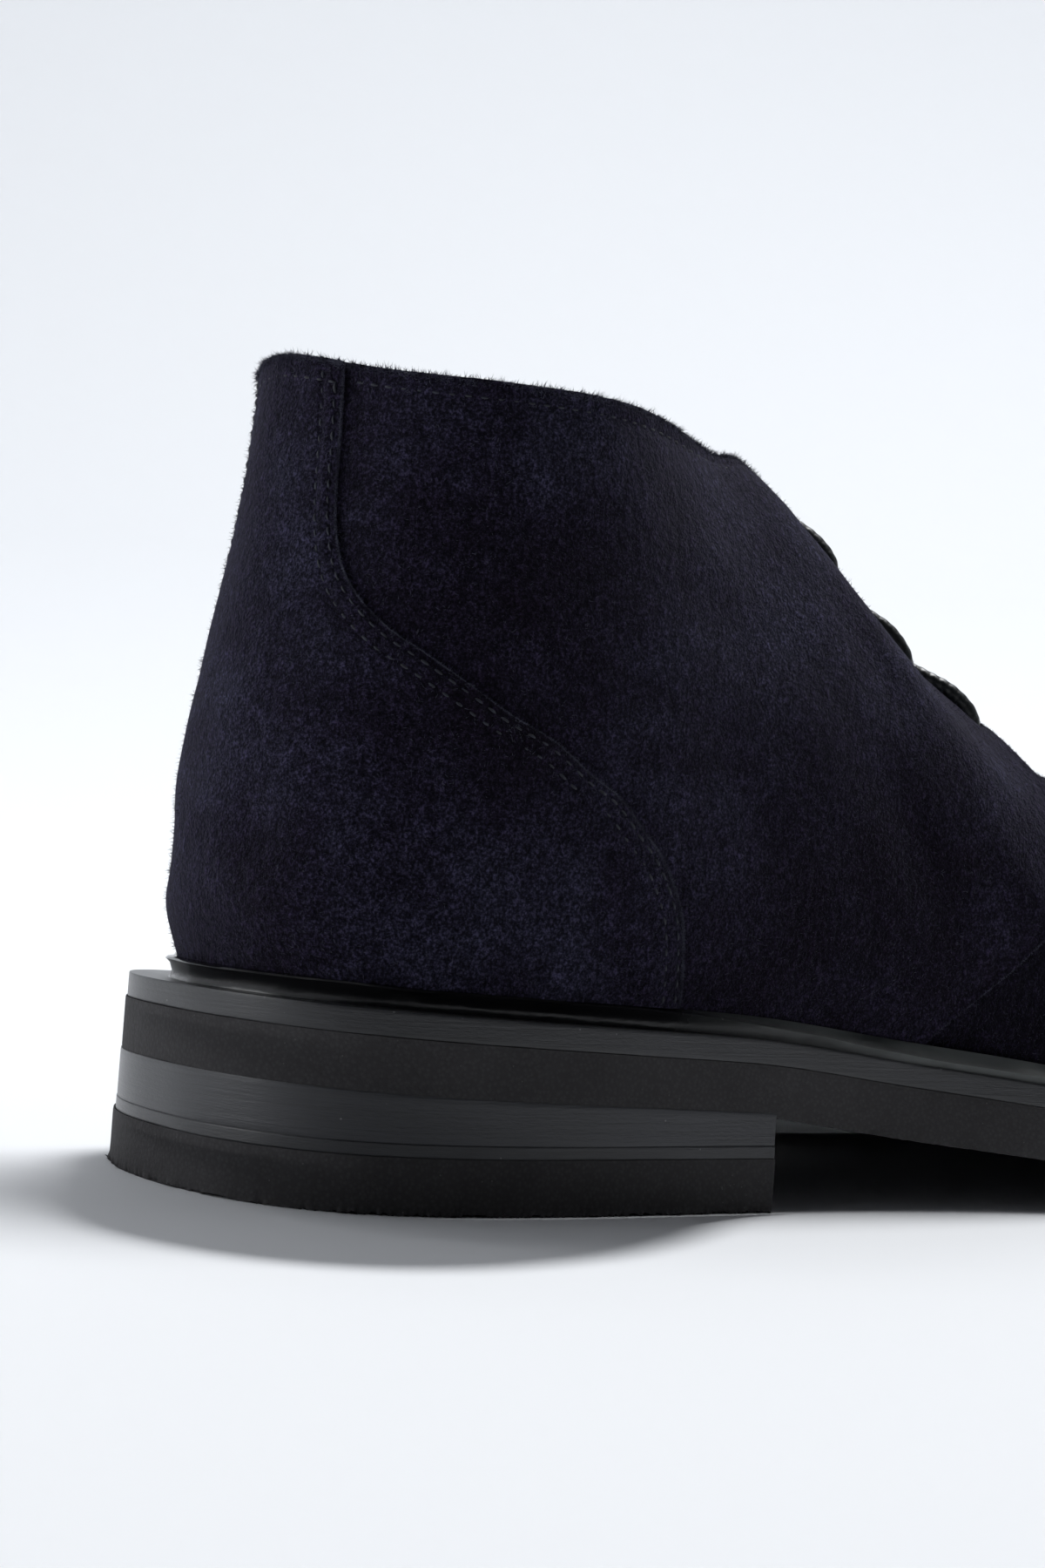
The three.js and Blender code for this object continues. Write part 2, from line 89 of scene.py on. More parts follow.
def smoothRows(rows, x):
    # a smooth value between the rows of a two column table
    xs, ys = np.array(rows, float).T
    slopes = np.array([
        (ys[min(i + 1, len(xs) - 1)] - ys[max(i - 1, 0)]) / (xs[min(i + 1, len(xs) - 1)] - xs[max(i - 1, 0)])
        for i in range(len(xs))
    ])
    x = np.asarray(x, float)
    i = np.clip(np.searchsorted(xs, x, side="left") - 1, 0, len(xs) - 2)
    span = xs[i + 1] - xs[i]
    t = np.clip((x - xs[i]) / span, 0, 1)
    return (
        ys[i] * (1 - 3 * t**2 + 2 * t**3) + ys[i + 1] * (3 * t**2 - 2 * t**3)
        + slopes[i] * span * t * (1 - t) ** 2 - slopes[i + 1] * span * t * t * (1 - t)
    )


def toeSwing(s):
    k = np.maximum(0, (np.asarray(s, float) - 150) / 150)
    return -boot["toeIn"] * k * k


def treadAt(s):
    s = np.asarray(s, float)
    return np.where(s <= boot["heelLength"], 17.2 - 0.03 * s, np.maximum(0, smoothRows(treadRows, s)))


def midsoleTop(s):
    return smoothRows(bedRows, s)


def outsoleTop(s):
    return midsoleTop(s) - boot["midsole"]


def ringThrough(points):
    # a closed smooth curve through the points
    count = len(points)
    held = points.copy()
    for _ in range(50):
        held = (6 * points - np.roll(held, 1, 0) - np.roll(held, -1, 0)) / 4

    def at(u):
        turn = np.mod(np.asarray(u, float), count)
        i = np.floor(turn).astype(int) % count
        f = (turn - np.floor(turn))[..., None]
        a, b, c, d = (held[(i + k) % count] for k in (-1, 0, 1, 2))
        return (
            a * (1 - f) ** 3 + b * (3 * f**3 - 6 * f * f + 4)
            + c * (-3 * f**3 + 3 * f * f + 3 * f + 1) + d * f**3
        ) / 6

    return at


def bothSides(point):
    ring = [point(i, 1) for i in range(lastRow + 1)]
    ring += [point(i, -1) for i in range(lastRow - 1, 0, -1)]
    return ringThrough(np.array(ring, float))


def footOf(i, side):
    s = section["foot"][i]
    half = section["lat" if side > 0 else "med"][i] * side
    return np.array([s, half + toeSwing(s), midsoleTop(s) + boot["gap"]])


def swellOf(i, side):
    return footOf(i, side) + [section["lean"][i], section["swell"][i] * side, section["rise"][i]]


def edgeOf(i, side):
    return np.array([section["edge"][i], section["half"][i] * side, section["high"][i]])


def shoulderOf(i, side):
    swing = toeSwing(section["edge"][i] + section["reach"][i]) / 2
    return edgeOf(i, side) + [section["reach"][i], section["shoulder"][i] * side + swing, -section["drop"][i]]


footRing, swellRing = bothSides(footOf), bothSides(swellOf)
shoulderRing, edgeRing = bothSides(shoulderOf), bothSides(edgeOf)


def closedEdge(u):
    # the throat's edge brought together over the tongue
    k = np.clip((rowOf(u) - 6.3) / 0.8, 0, 1)
    p = edgeRing(u)
    return np.stack([p[..., 0], p[..., 1] * (1 - k), p[..., 2] + 0.25 * np.abs(p[..., 1]) * k], -1)


def upperAt(u, t, edge=edgeRing):
    t = np.asarray(t, float)[..., None]
    r = 1 - t
    return footRing(u) * r**3 + swellRing(u) * 3 * t * r * r + shoulderRing(u) * 3 * t * t * r + edge(u) * t**3


def upperFacing(u, t, edge=edgeRing):
    # the outward direction of the upper
    h = 0.02
    low = np.maximum(0, np.minimum(t, 1) - h)
    high = np.minimum(1, t + h)
    around = upperAt(u + h, t, edge) - upperAt(u - h, t, edge)
    up = upperAt(u, high, edge) - upperAt(u, low, edge)
    n = np.cross(up, around)
    return n / np.linalg.norm(n, axis=-1, keepdims=True)


def upperOff(u, t, off, edge=edgeRing):
    u, t, off = np.broadcast_arrays(np.asarray(u, float), np.asarray(t, float), np.asarray(off, float))
    return upperAt(u, t, edge) + upperFacing(u, t, edge) * off[..., None]


def stepOn(u, t, along, inward):
    # (u, t) moved over the surface by so many mm toward a direction given in space
    h = 0.01
    du = (upperAt(u + h, t) - upperAt(u - h, t)) / (2 * h)
    dt = (upperAt(u, np.minimum(t + h, 1)) - upperAt(u, t - h)) / (np.minimum(t + h, 1) - t + h)[..., None]
    move = along * inward[..., None] if np.ndim(inward) else along * inward
    a, b, c = (du * du).sum(-1), (du * dt).sum(-1), (dt * dt).sum(-1)
    p, q = (du * move).sum(-1), (dt * move).sum(-1)
    det = a * c - b * b
    return u + (p * c - q * b) / det, t + (q * a - p * b) / det


outlineRing = bothSides(
    lambda i, side: np.array([
        outlineRows[i][0],
        outlineRows[i][1 if side > 0 else 2] * side + toeSwing(outlineRows[i][0]),
        0,
    ])
)


def outlineAt(u, inset=0.0):
    u = np.asarray(u, float)
    p = outlineRing(u)
    d = outlineRing(u + 0.02) - outlineRing(u - 0.02)
    d = d / np.linalg.norm(d, axis=-1, keepdims=True)
    inset = np.asarray(inset, float)
    return np.stack([p[..., 0] + d[..., 1] * inset, p[..., 1] - d[..., 0] * inset, p[..., 2]], -1)


acrossAll = outlineAt(np.linspace(0, wholeTurn, 84, endpoint=False))[:, 1]
middle = (acrossAll.max() + acrossAll.min()) / 2


def unit(p):
    return p / np.linalg.norm(p, axis=-1, keepdims=True)


def placed(p):
    # from s, w, z in mm to the boot's own axes in metres
    p = np.asarray(p, float)
    return np.stack([middle - p[..., 1], boot["length"] / 2 - p[..., 0], p[..., 2]], -1) / 1000


rng = np.random.default_rng(7)


def ripple(p, size, seed=0):
    # a smooth random value between about -1 and 1 at points in mm, for soft unevenness
    waves = np.random.default_rng(seed)
    total = 0
    for _ in range(7):
        way = waves.normal(size=3)
        way /= np.linalg.norm(way)
        total = total + np.sin((p @ way) * 2 * math.pi / (size * waves.uniform(0.7, 1.5)) + waves.uniform(0, 6.28))
    return total / 3.2


def named(name):
    piece = bpy.context.object
    piece.name = name
    piece.data.name = name
    return piece


def pointsOf(piece):
    co = np.empty(len(piece.data.vertices) * 3)
    piece.data.vertices.foreach_get("co", co)
    return co.reshape(-1, 3)


def setPoints(piece, points):
    piece.data.vertices.foreach_set("co", np.asarray(points, np.float32).ravel())
    piece.data.update()


def gridOf(name, columns, rows):
    # a flat grid, with the column and row of each of its corners
    bpy.ops.mesh.primitive_grid_add(x_subdivisions=columns, y_subdivisions=rows, size=2, location=(0, 0, 0))
    piece = named(name)
    co = pointsOf(piece)
    i = np.rint((co[:, 0] + 1) / 2 * columns).astype(int)
    j = np.rint((co[:, 1] + 1) / 2 * rows).astype(int)
    return piece, i, j


def ringOf(name, columns, corners):
    # a torus, with the column round it and the corner of its section of each vertex
    bpy.ops.mesh.primitive_torus_add(
        major_segments=columns, minor_segments=corners, major_radius=1, minor_radius=0.3, location=(0, 0, 0)
    )
    piece = named(name)
    co = pointsOf(piece)
    i = np.rint(np.mod(np.arctan2(co[:, 1], co[:, 0]), 2 * math.pi) / (2 * math.pi) * columns).astype(int)
    out = np.hypot(co[:, 0], co[:, 1]) - 1
    j = np.rint(np.mod(np.arctan2(co[:, 2], out), 2 * math.pi) / (2 * math.pi) * corners).astype(int)
    return piece, i % columns, j % corners


def pick(piece):
    bpy.ops.object.select_all(action="DESELECT")
    piece.select_set(True)
    bpy.context.view_layer.objects.active = piece


def inEdit(piece, *steps):
    pick(piece)
    bpy.ops.object.mode_set(mode="EDIT")
    bpy.ops.mesh.select_all(action="SELECT")
    for step in steps:
        step()
    bpy.ops.object.mode_set(mode="OBJECT")


def facingOut(piece):
    inEdit(
        piece,
        lambda: bpy.ops.mesh.remove_doubles(threshold=2e-6),
        lambda: bpy.ops.mesh.normals_make_consistent(inside=False),
    )


def applied(piece, kind, **values):
    pick(piece)
    made = piece.modifiers.new(kind.title(), kind)
    for key, value in values.items():
        setattr(made, key, value)
    if kind == "SUBSURF":
        made.render_levels = made.levels
    bpy.ops.object.modifier_apply(modifier=made.name)


def smoothed(piece, degrees=40):
    pick(piece)
    bpy.ops.object.shade_smooth_by_angle(angle=math.radians(degrees))


def dressed(piece, material):
    piece.data.materials.clear()
    piece.data.materials.append(material)


def finished(piece, slotName, material, *nodes):
    dressed(piece, material)
    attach(piece, "root")
    if nodes:
        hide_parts(*nodes)
    return piece


def joinedCopies(name, corners, faces, frames):
    # one small closed shape copied to many places: frames are 3 by 4, axes and place
    corners = np.asarray(corners, float)
    frames = np.asarray(frames, float)
    points = np.einsum("nij,kj->nki", frames[:, :, :3], corners) + frames[:, None, :, 3]
    count = len(corners)
    loops = [tuple(c + n * count for c in face) for n in range(len(frames)) for face in faces]
    mesh = bpy.data.meshes.new(name)
    mesh.from_pydata(points.reshape(-1, 3).tolist(), [], loops)
    piece = bpy.data.objects.new(name, mesh)
    bpy.context.scene.collection.objects.link(piece)
    return piece


def newMaterial(name):
    material = bpy.data.materials.new(name)
    material.use_nodes = True
    tree = material.node_tree
    shader = next(n for n in tree.nodes if n.type == "BSDF_PRINCIPLED")
    return material, tree, shader


def node(tree, kind, **values):
    made = tree.nodes.new("ShaderNode" + kind)
    for key, value in values.items():
        if key in made.inputs:
            made.inputs[key].default_value = value
        else:
            setattr(made, key, value)
    return made


def feed(tree, socket, value):
    # a socket takes another node's output, or a value of its own
    if hasattr(value, "is_linked"):
        tree.links.new(value, socket)
    else:
        socket.default_value = value


def shade(tree, shader, values):
    for name, value in values.items():
        feed(tree, shader.inputs[name], value)


def noise(tree, where, scale, detail=3.0, rough=0.6, stretch=None):
    if stretch:
        turn = node(tree, "Mapping")
        turn.inputs["Scale"].default_value = stretch
        tree.links.new(where, turn.inputs["Vector"])
        where = turn.outputs["Vector"]
    made = node(tree, "TexNoise", Scale=scale, Detail=detail, Roughness=rough)
    tree.links.new(where, made.inputs["Vector"])
    return made.outputs["Fac"]


def ramp(tree, factor, stops):
    made = node(tree, "ValToRGB")
    band = made.color_ramp
    while len(band.elements) < len(stops):
        band.elements.new(0.5)
    for element, (place, colour) in zip(band.elements, stops):
        element.position = place
        element.color = (*colour, 1)
    tree.links.new(factor, made.inputs["Fac"])
    return made.outputs["Color"]


def ranged(tree, value, toLow, toHigh, fromLow=0.0, fromHigh=1.0):
    made = node(tree, "MapRange")
    tree.links.new(value, made.inputs["Value"])
    for socket, number in (("From Min", fromLow), ("From Max", fromHigh), ("To Min", toLow), ("To Max", toHigh)):
        made.inputs[socket].default_value = number
    return made.outputs["Result"]


def mix(tree, factor, a, b, kind="MIX"):
    made = node(tree, "Mix", data_type="RGBA", blend_type=kind)
    feed(tree, made.inputs[0], factor)
    for socket, colour in ((6, a), (7, b)):
        feed(tree, made.inputs[socket], colour if hasattr(colour, "is_linked") else (*colour, 1))
    return made.outputs[2]


def maths(tree, kind, a, b=0.0):
    made = node(tree, "Math", operation=kind)
    feed(tree, made.inputs[0], a)
    feed(tree, made.inputs[1], b)
    return made.outputs[0]


def bumps(tree, shader, *layers):
    # layers: (height, depth in metres)
    normal = None
    for height, depth in layers:
        made = node(tree, "Bump", Distance=depth, Strength=1.0)
        tree.links.new(height, made.inputs["Height"])
        if normal is not None:
            tree.links.new(normal, made.inputs["Normal"])
        normal = made.outputs["Normal"]
    tree.links.new(normal, shader.inputs["Normal"])


def specks(tree, where, scale, size, lengthen=None):
    # sparse light dust: small cells whose random value is high
    if lengthen:
        turn = node(tree, "Mapping")
        turn.inputs["Scale"].default_value = lengthen
        turn.inputs["Rotation"].default_value = (0.3, 0.5, 0.8)
        tree.links.new(where, turn.inputs["Vector"])
        where = turn.outputs["Vector"]
    cell = node(tree, "TexVoronoi", Scale=scale)
    tree.links.new(where, cell.inputs["Vector"])
    near = maths(tree, "LESS_THAN", cell.outputs["Distance"], size)
    split = node(tree, "SeparateColor")
    tree.links.new(cell.outputs["Color"], split.inputs["Color"])
    rare = maths(tree, "GREATER_THAN", split.outputs[0], 0.86)
    return maths(tree, "MULTIPLY", near, rare)


suedeLook = {
    "deep": (0.0052, 0.0035, 0.0072),
    "body": (0.0092, 0.0074, 0.0144),
    "raised": (0.0185, 0.0177, 0.0305),
    "dust": (0.10, 0.105, 0.13),
    "sheen": 0.18,
    "sheenTint": (0.50, 0.50, 0.70),
}


def suedeMaterial(name, look):
    material, tree, shader = newMaterial(name)
    where = node(tree, "TexCoord").outputs["Object"]
    brushed = noise(tree, where, 15, 4, 0.6, (1.0, 1.0, 1.6))
    cloud = noise(tree, where, 70, 5, 0.65)
    clumps = noise(tree, where, 650, 3, 0.65)
    nap = noise(tree, where, 2100, 3, 0.75)
    patch = maths(tree, "ADD", maths(tree, "MULTIPLY", brushed, 0.66), maths(tree, "MULTIPLY", cloud, 0.34))
    tone = ramp(tree, patch, [(0.41, look["deep"]), (0.52, look["body"]), (0.65, look["raised"])])
    grain = ramp(tree, clumps, [(0.34, (0.55, 0.55, 0.58)), (0.5, (1.0, 1.0, 1.0)), (0.68, (1.7, 1.7, 1.8))])
    tone = mix(tree, 1.0, tone, grain, "MULTIPLY")
    hairs = ramp(tree, nap, [(0.36, (0.2, 0.2, 0.22)), (0.5, (0.85, 0.85, 0.87)), (0.64, (3.0, 3.0, 3.2))])
    tone = mix(tree, 1.0, tone, hairs, "MULTIPLY")
    dust = specks(tree, where, 700, 0.12, (1.0, 0.6, 1.0))
    tone = mix(tree, maths(tree, "MULTIPLY", dust, 0.12), tone, look["dust"])
    shade(tree, shader, {
        "Base Color": tone, "Roughness": ranged(tree, nap, 0.86, 1.0), "Specular IOR Level": 0.05,
        "Sheen Weight": look["sheen"], "Sheen Roughness": 0.45, "Sheen Tint": (*look["sheenTint"], 1),
    })
    bumps(tree, shader, (cloud, 0.0006), (clumps, 0.0005), (nap, 0.0003))
    return material


rubberLook = {"body": (0.0370, 0.0355, 0.0370), "light": (0.0520, 0.0502, 0.0522), "dust": (0.16, 0.15, 0.15)}


def rubberMaterial(name, look):
    # microcellular rubber: fine open cells, matt, with dust in them
    material, tree, shader = newMaterial(name)
    where = node(tree, "TexCoord").outputs["Object"]
    cloud = noise(tree, where, 45, 4, 0.6)
    cells = node(tree, "TexVoronoi", Scale=1500)
    tree.links.new(where, cells.inputs["Vector"])
    grain = noise(tree, where, 900, 4, 0.7)
    tone = ramp(tree, cloud, [(0.35, look["body"]), (0.7, look["light"])])
    pores = ramp(tree, cells.outputs["Distance"], [(0.1, (1.25, 1.25, 1.25)), (0.6, (0.6, 0.6, 0.6))])
    tone = mix(tree, 0.4, tone, pores, "MULTIPLY")
    marks = specks(tree, where, 800, 0.09)
    tone = mix(tree, maths(tree, "MULTIPLY", marks, 0.4), tone, look["dust"])
    shade(tree, shader, {"Base Color": tone, "Roughness": 0.72, "Specular IOR Level": 0.14})
    bumps(tree, shader, (cells.outputs["Distance"], 0.00005), (grain, 0.00016))
    return material


edgeLook = {"body": (0.0100, 0.0104, 0.0120), "light": (0.0260, 0.0268, 0.0305), "dust": (0.22, 0.22, 0.22)}


def edgeMaterial(name, look, rough=0.31):
    # leather board edge, waxed and burnished in streaks along the edge
    material, tree, shader = newMaterial(name)
    where = node(tree, "TexCoord").outputs["Object"]
    streak = noise(tree, where, 40, 5, 0.7, (1.0, 1.0, 60.0))
    broad = noise(tree, where, 30, 3, 0.5)
    weave = noise(tree, where, 700, 3, 0.7, (1.0, 1.0, 4.0))
    both = maths(tree, "ADD", maths(tree, "MULTIPLY", streak, 0.5), maths(tree, "MULTIPLY", broad, 0.5))
    tone = ramp(tree, both, [(0.38, look["body"]), (0.62, look["light"])])
    scratch = ramp(tree, streak, [(0.28, (0.5, 0.5, 0.5)), (0.36, (1.0, 1.0, 1.0))])
    tone = mix(tree, 0.7, tone, scratch, "MULTIPLY")
    marks = specks(tree, where, 700, 0.1)
    tone = mix(tree, maths(tree, "MULTIPLY", marks, 0.5), tone, look["dust"])
    shade(tree, shader, {"Base Color": tone, "Roughness": ranged(tree, both, rough - 0.08, rough + 0.14)})
    bumps(tree, shader, (streak, 0.00006), (weave, 0.00005))
    return material


def weltMaterial(name):
    # black dressed strip, close to polished, with soft ripples
    material, tree, shader = newMaterial(name)
    where = node(tree, "TexCoord").outputs["Object"]
    ripples = noise(tree, where, 60, 3, 0.5, (1.0, 1.0, 3.0))
    grain = noise(tree, where, 500, 4, 0.6)
    tone = ramp(tree, ripples, [(0.3, (0.0045, 0.0045, 0.0052)), (0.7, (0.0100, 0.0102, 0.0118))])
    marks = specks(tree, where, 400, 0.1)
    tone = mix(tree, maths(tree, "MULTIPLY", marks, 0.5), tone, (0.2, 0.2, 0.2))
    split = node(tree, "SeparateXYZ")
    tree.links.new(where, split.inputs["Vector"])
    # from the heel's front on toward the toe, the strip takes a lighter streaked tone
    fore = ranged(tree, split.outputs[1], 0.0, 1.0, 0.085, 0.05)
    foreTone = ramp(tree, ripples, [(0.36, (0.016, 0.019, 0.019)), (0.55, (0.085, 0.092, 0.090))])
    tone = mix(tree, fore, tone, foreTone)
    spread = maths(tree, "ADD", maths(tree, "MULTIPLY", fore, 0.28), maths(tree, "MULTIPLY", ripples, 0.4))
    shade(tree, shader, {"Base Color": tone, "Roughness": spread, "Specular IOR Level": 0.4})
    bumps(tree, shader, (ripples, 0.00025), (grain, 0.00004))
    return material


def liningMaterial(name):
    material, tree, shader = newMaterial(name)
    where = node(tree, "TexCoord").outputs["Object"]
    cloud = noise(tree, where, 40, 4, 0.6)
    pores = node(tree, "TexVoronoi", Scale=900)
    tree.links.new(where, pores.inputs["Vector"])
    tone = ramp(tree, cloud, [(0.3, (0.008, 0.008, 0.012)), (0.7, (0.017, 0.017, 0.024))])
    shade(tree, shader, {"Base Color": tone, "Roughness": ranged(tree, cloud, 0.5, 0.72)})
    bumps(tree, shader, (pores.outputs["Distance"], 0.00012))
    return material


def laceMaterial(name):
    # waxed round lace: a fine braid that winds round the cord, on its own UV map
    material, tree, shader = newMaterial(name)
    uv = node(tree, "UVMap", uv_map="braid").outputs["UV"]
    split = node(tree, "SeparateXYZ")
    tree.links.new(uv, split.inputs["Vector"])
    strands = []
    for kind in ("ADD", "SUBTRACT"):
        winding = maths(tree, kind, split.outputs[0], split.outputs[1])
        strands.append(maths(tree, "SINE", maths(tree, "MULTIPLY", winding, 6.2832)))
    braid = maths(tree, "MAXIMUM", *strands)
    tone = ramp(tree, braid, [(0.2, (0.0055, 0.0068, 0.0074)), (0.9, (0.0095, 0.0122, 0.0130))])
    shade(tree, shader, {"Base Color": tone, "Roughness": 0.42})
    bumps(tree, shader, (braid, 0.00003))
    return material


def threadMaterial(name):
    material, tree, shader = newMaterial(name)
    where = node(tree, "TexCoord").outputs["Object"]
    twist = noise(tree, where, 1500, 2, 0.5)
    tone = ramp(tree, twist, [(0.3, (0.004, 0.005, 0.010)), (0.7, (0.018, 0.021, 0.036))])
    shade(tree, shader, {"Base Color": tone, "Roughness": 0.5})
    bumps(tree, shader, (twist, 0.0001))
    return material


def fibreMaterial(name, low, high):
    material, tree, shader = newMaterial(name)
    where = node(tree, "TexCoord").outputs["Object"]
    change = noise(tree, where, 420, 2, 0.5)
    tone = ramp(tree, change, [(0.35, low), (0.7, high)])
    shade(tree, shader, {"Base Color": tone, "Roughness": 0.8, "Specular IOR Level": 0.2})
    return material


suede = suedeMaterial("navySuede", suedeLook)
rubber = rubberMaterial("cellularRubber", rubberLook)
midEdge = edgeMaterial("waxedMidsoleEdge", edgeLook)
liftLook = {**edgeLook, "body": (0.0170, 0.0178, 0.0212), "light": (0.0320, 0.0332, 0.0395)}
liftEdge = edgeMaterial("waxedLiftEdge", liftLook)
thinLook = {**edgeLook, "body": (0.0140, 0.0146, 0.0170), "light": (0.0250, 0.0260, 0.0300)}
thinEdge = edgeMaterial("waxedThinLiftEdge", thinLook)
weltFinish = weltMaterial("dressedWelt")
lining = liningMaterial("liningLeather")
laceFinish = laceMaterial("waxedLace")
thread = threadMaterial("bondedThread")
nap = fibreMaterial("napFibre", (0.012, 0.012, 0.022), (0.075, 0.076, 0.110))
# raw edge fibres: partly the real paler fibre of a cut edge, partly a painted highlight; lighter than the suede,
# they draw the light line where the collar, quarter and counter rims catch the light
edgeFibreAndHighlight = fibreMaterial("rawEdgeFibreAndHighlight", (0.022, 0.022, 0.036), (0.085, 0.088, 0.125))
# painted shade: a darker copy of the navy suede for the vamp, where it lies in shade beside and under the quarters'
# edges
vampShadedLook = {
    **suedeLook,
    "deep": (0.0026, 0.0018, 0.0040), "body": (0.0060, 0.0047, 0.0095), "raised": (0.0150, 0.0140, 0.0250),
}
vampSuedePaintedShade = suedeMaterial("vampSuedePaintedShade", vampShadedLook)
print("materials made")

# sizes of the upper's panels and seams in mm
upperSizes = {
    "quarterThick": 1.2,  # suede of the quarters
    "seamOne": 1.2, "seamTwo": 3.3,  # stitch rows inside an edge
    "pitch": 2.35, "stitch": 1.35, "threadThick": 0.38,
}
# soft hollows and swellings of the worn-in surface: round, up, reach round, reach up, height
softForms = [
    (0.75, 0.30, 0.35, 0.08, -0.9), (0.95, 0.20, 0.5, 0.06, 0.6), (1.9, 0.42, 0.5, 0.07, -0.5),
    (4.5, 0.40, 0.45, 0.15, -0.8), (5.5, 0.52, 0.4, 0.10, 0.6), (5.0, 0.78, 0.5, 0.07, 0.5),
    (6.1, 0.36, 0.25, 0.10, -0.7), (3.1, 0.80, 0.7, 0.06, -0.5), (6.6, 0.62, 0.3, 0.10, -0.6),
    (7.1, 0.30, 0.25, 0.07, 0.5), (8.6, 0.30, 0.35, 0.10, -0.6), (9.6, 0.45, 0.4, 0.10, -0.8),
    (10.4, 0.36, 0.35, 0.10, 0.7), (11.2, 0.55, 0.4, 0.08, -0.5),
]


def softForm(u, t):
    row = rowOf(u)
    shift = np.where(np.mod(u, wholeTurn) <= lastRow, 0.0, 0.35)  # the inner side's hollows are not a mirror image
    total = 0
    for at, up, wide, tall, height in softForms:
        total = total + height * np.exp(-(((row - at - shift) / wide) ** 2) - ((t - up + shift * 0.1) / tall) ** 2)
    fade = np.clip(t / 0.12, 0, 1) * np.clip((1 - t) / 0.1, 0, 1)
    return total * fade


eyelets = {"top": (7.47, 0.85), "middle": (8.16, 0.8), "low": (8.93, 0.8)}  # round the ring, up the side
counterRows = [  # up the side, round the ring, of the counter's front edge
    (0.0, 3.93), (0.16, 3.94), (0.23, 3.93), (0.31, 3.84), (0.36, 3.71), (0.41, 3.56), (0.44, 3.38),
    (0.49, 3.11), (0.52, 2.82), (0.56, 2.48), (0.6, 2.1), (0.63, 1.79), (0.68, 1.42), (0.72, 1.21),
    (0.77, 1.07), (0.81, 1.01), (0.86, 0.97), (1.0, 0.91),
]
quarterRows = [  # up the side, round the ring, of the quarter's front edge over the vamp
    (0.0, 5.7), (0.06, 5.88), (0.13, 6.3), (0.22, 6.95), (0.32, 7.62), (0.42, 8.1), (0.52, 8.42),
    (0.62, 8.68), (0.72, 8.9), (0.84, 9.2), (1.0, 9.5),
]


def counterEdge(t):
    return smoothRows(counterRows, t)


def quarterEdge(t):
    return smoothRows(quarterRows, t)


def seamDent(distance):
    # needle rows pull the leather down a little on both sides of each row
    one, two = upperSizes["seamOne"], upperSizes["seamTwo"]
    return -0.16 * (np.exp(-(((distance - one) / 0.5) ** 2)) + np.exp(-(((distance - two) / 0.5) ** 2)))


def edgeSpacing(coarse, fine, share):
    # column places from 0 to 1, drawn closer together near 1
    return np.concatenate([np.linspace(0, 1 - share, coarse + 1)[:-1], np.linspace(1 - share, 1, fine + 1)])


def edgeDistance(u, t, edgeOfT):
    # mm from a place on the panel to its front edge, near enough close to the edge
    h = 0.01
    du = (upperAt(u + h, t) - upperAt(u - h, t)) / (2 * h)
    dt = (upperAt(u, np.minimum(t + h, 1)) - upperAt(u, np.maximum(t - h, 0)))
    dt = dt / (np.minimum(t + h, 1) - np.maximum(t - h, 0))[..., None]
    slope = (edgeOfT(t + h) - edgeOfT(t - h)) / (2 * h)
    edgeWay = unit(du * slope[..., None] + dt)
    gap = du * (edgeOfT(t) - u)[..., None]
    straight = gap - edgeWay * (gap * edgeWay).sum(-1)[..., None]
    return np.linalg.norm(straight, axis=-1)


def panel(name, columns, ts, uOf, offOf, thick, bevel=0.25):
    # a thin panel laid on the last: a grid placed by (u, t), given its thickness inward
    piece, i, j = gridOf(name, len(columns) - 1, len(ts) - 1)
    t = ts[j]
    u = uOf(columns[i], t)
    points = upperOff(u, t, offOf(u, t))
    setPoints(piece, placed(points))
    middleFace = piece.data.polygons[len(piece.data.polygons) // 2]
    corner = middleFace.vertices[0]
    out = upperFacing(np.array([u[corner]]), np.array([t[corner]]))[0]
    if np.dot(np.array(middleFace.normal), [-out[1], -out[0], out[2]]) < 0:
        inEdit(piece, bpy.ops.mesh.flip_normals)
    applied(piece, "SOLIDIFY", thickness=thick / 1000, offset=-1, use_even_offset=False)
    if bevel:
        applied(piece, "BEVEL", width=bevel / 1000, segments=2, limit_method="ANGLE", angle_limit=math.radians(50))
    smoothed(piece, 60)
    return piece


# lining: a full ring inside the wall
liningSizes = {"columns": 168, "rows": 26, "top": 0.985, "under": 1.32, "lower": 0.55, "thin": 0.3}
liningTs = np.linspace(0, liningSizes["top"], liningSizes["rows"])
liningTs = np.concatenate([liningTs, np.linspace(liningSizes["top"], 0, liningSizes["rows"])])
piece, i, j = ringOf("lining", liningSizes["columns"], 2 * liningSizes["rows"])
u = i * wholeTurn / liningSizes["columns"]
t = liningTs[j]
# it follows the suede's hollows, and lies lower where the vamp runs under the quarters
outer = -liningSizes["under"] - liningSizes["lower"] * np.clip((0.93 - t) / 0.08, 0, 1)
outer = outer + 1.1 * np.minimum(softForm(u, t), 0)
inner = np.minimum(-boot["wall"], outer - liningSizes["thin"])
points = upperOff(u, t, np.where(j < liningSizes["rows"], outer, inner))
setPoints(piece, placed(points))
facingOut(piece)
smoothed(piece)
finished(piece, "lining", lining)
print("lining made")


def vampOff(u, t):
    # low under the quarters, up to the full form ahead of them
    ahead = np.clip((rowOf(u) - quarterEdge(t) - 0.12) / 1.4, 0, 1)
    ahead = ahead * ahead * (3 - 2 * ahead)
    crown = upperAt(u, t)
    return -1.27 + 1.15 * ahead * np.clip(1.2 - t * 0.2, 0, 1) + softForm(u, t) + 0.06 * ripple(crown, 14, 3)


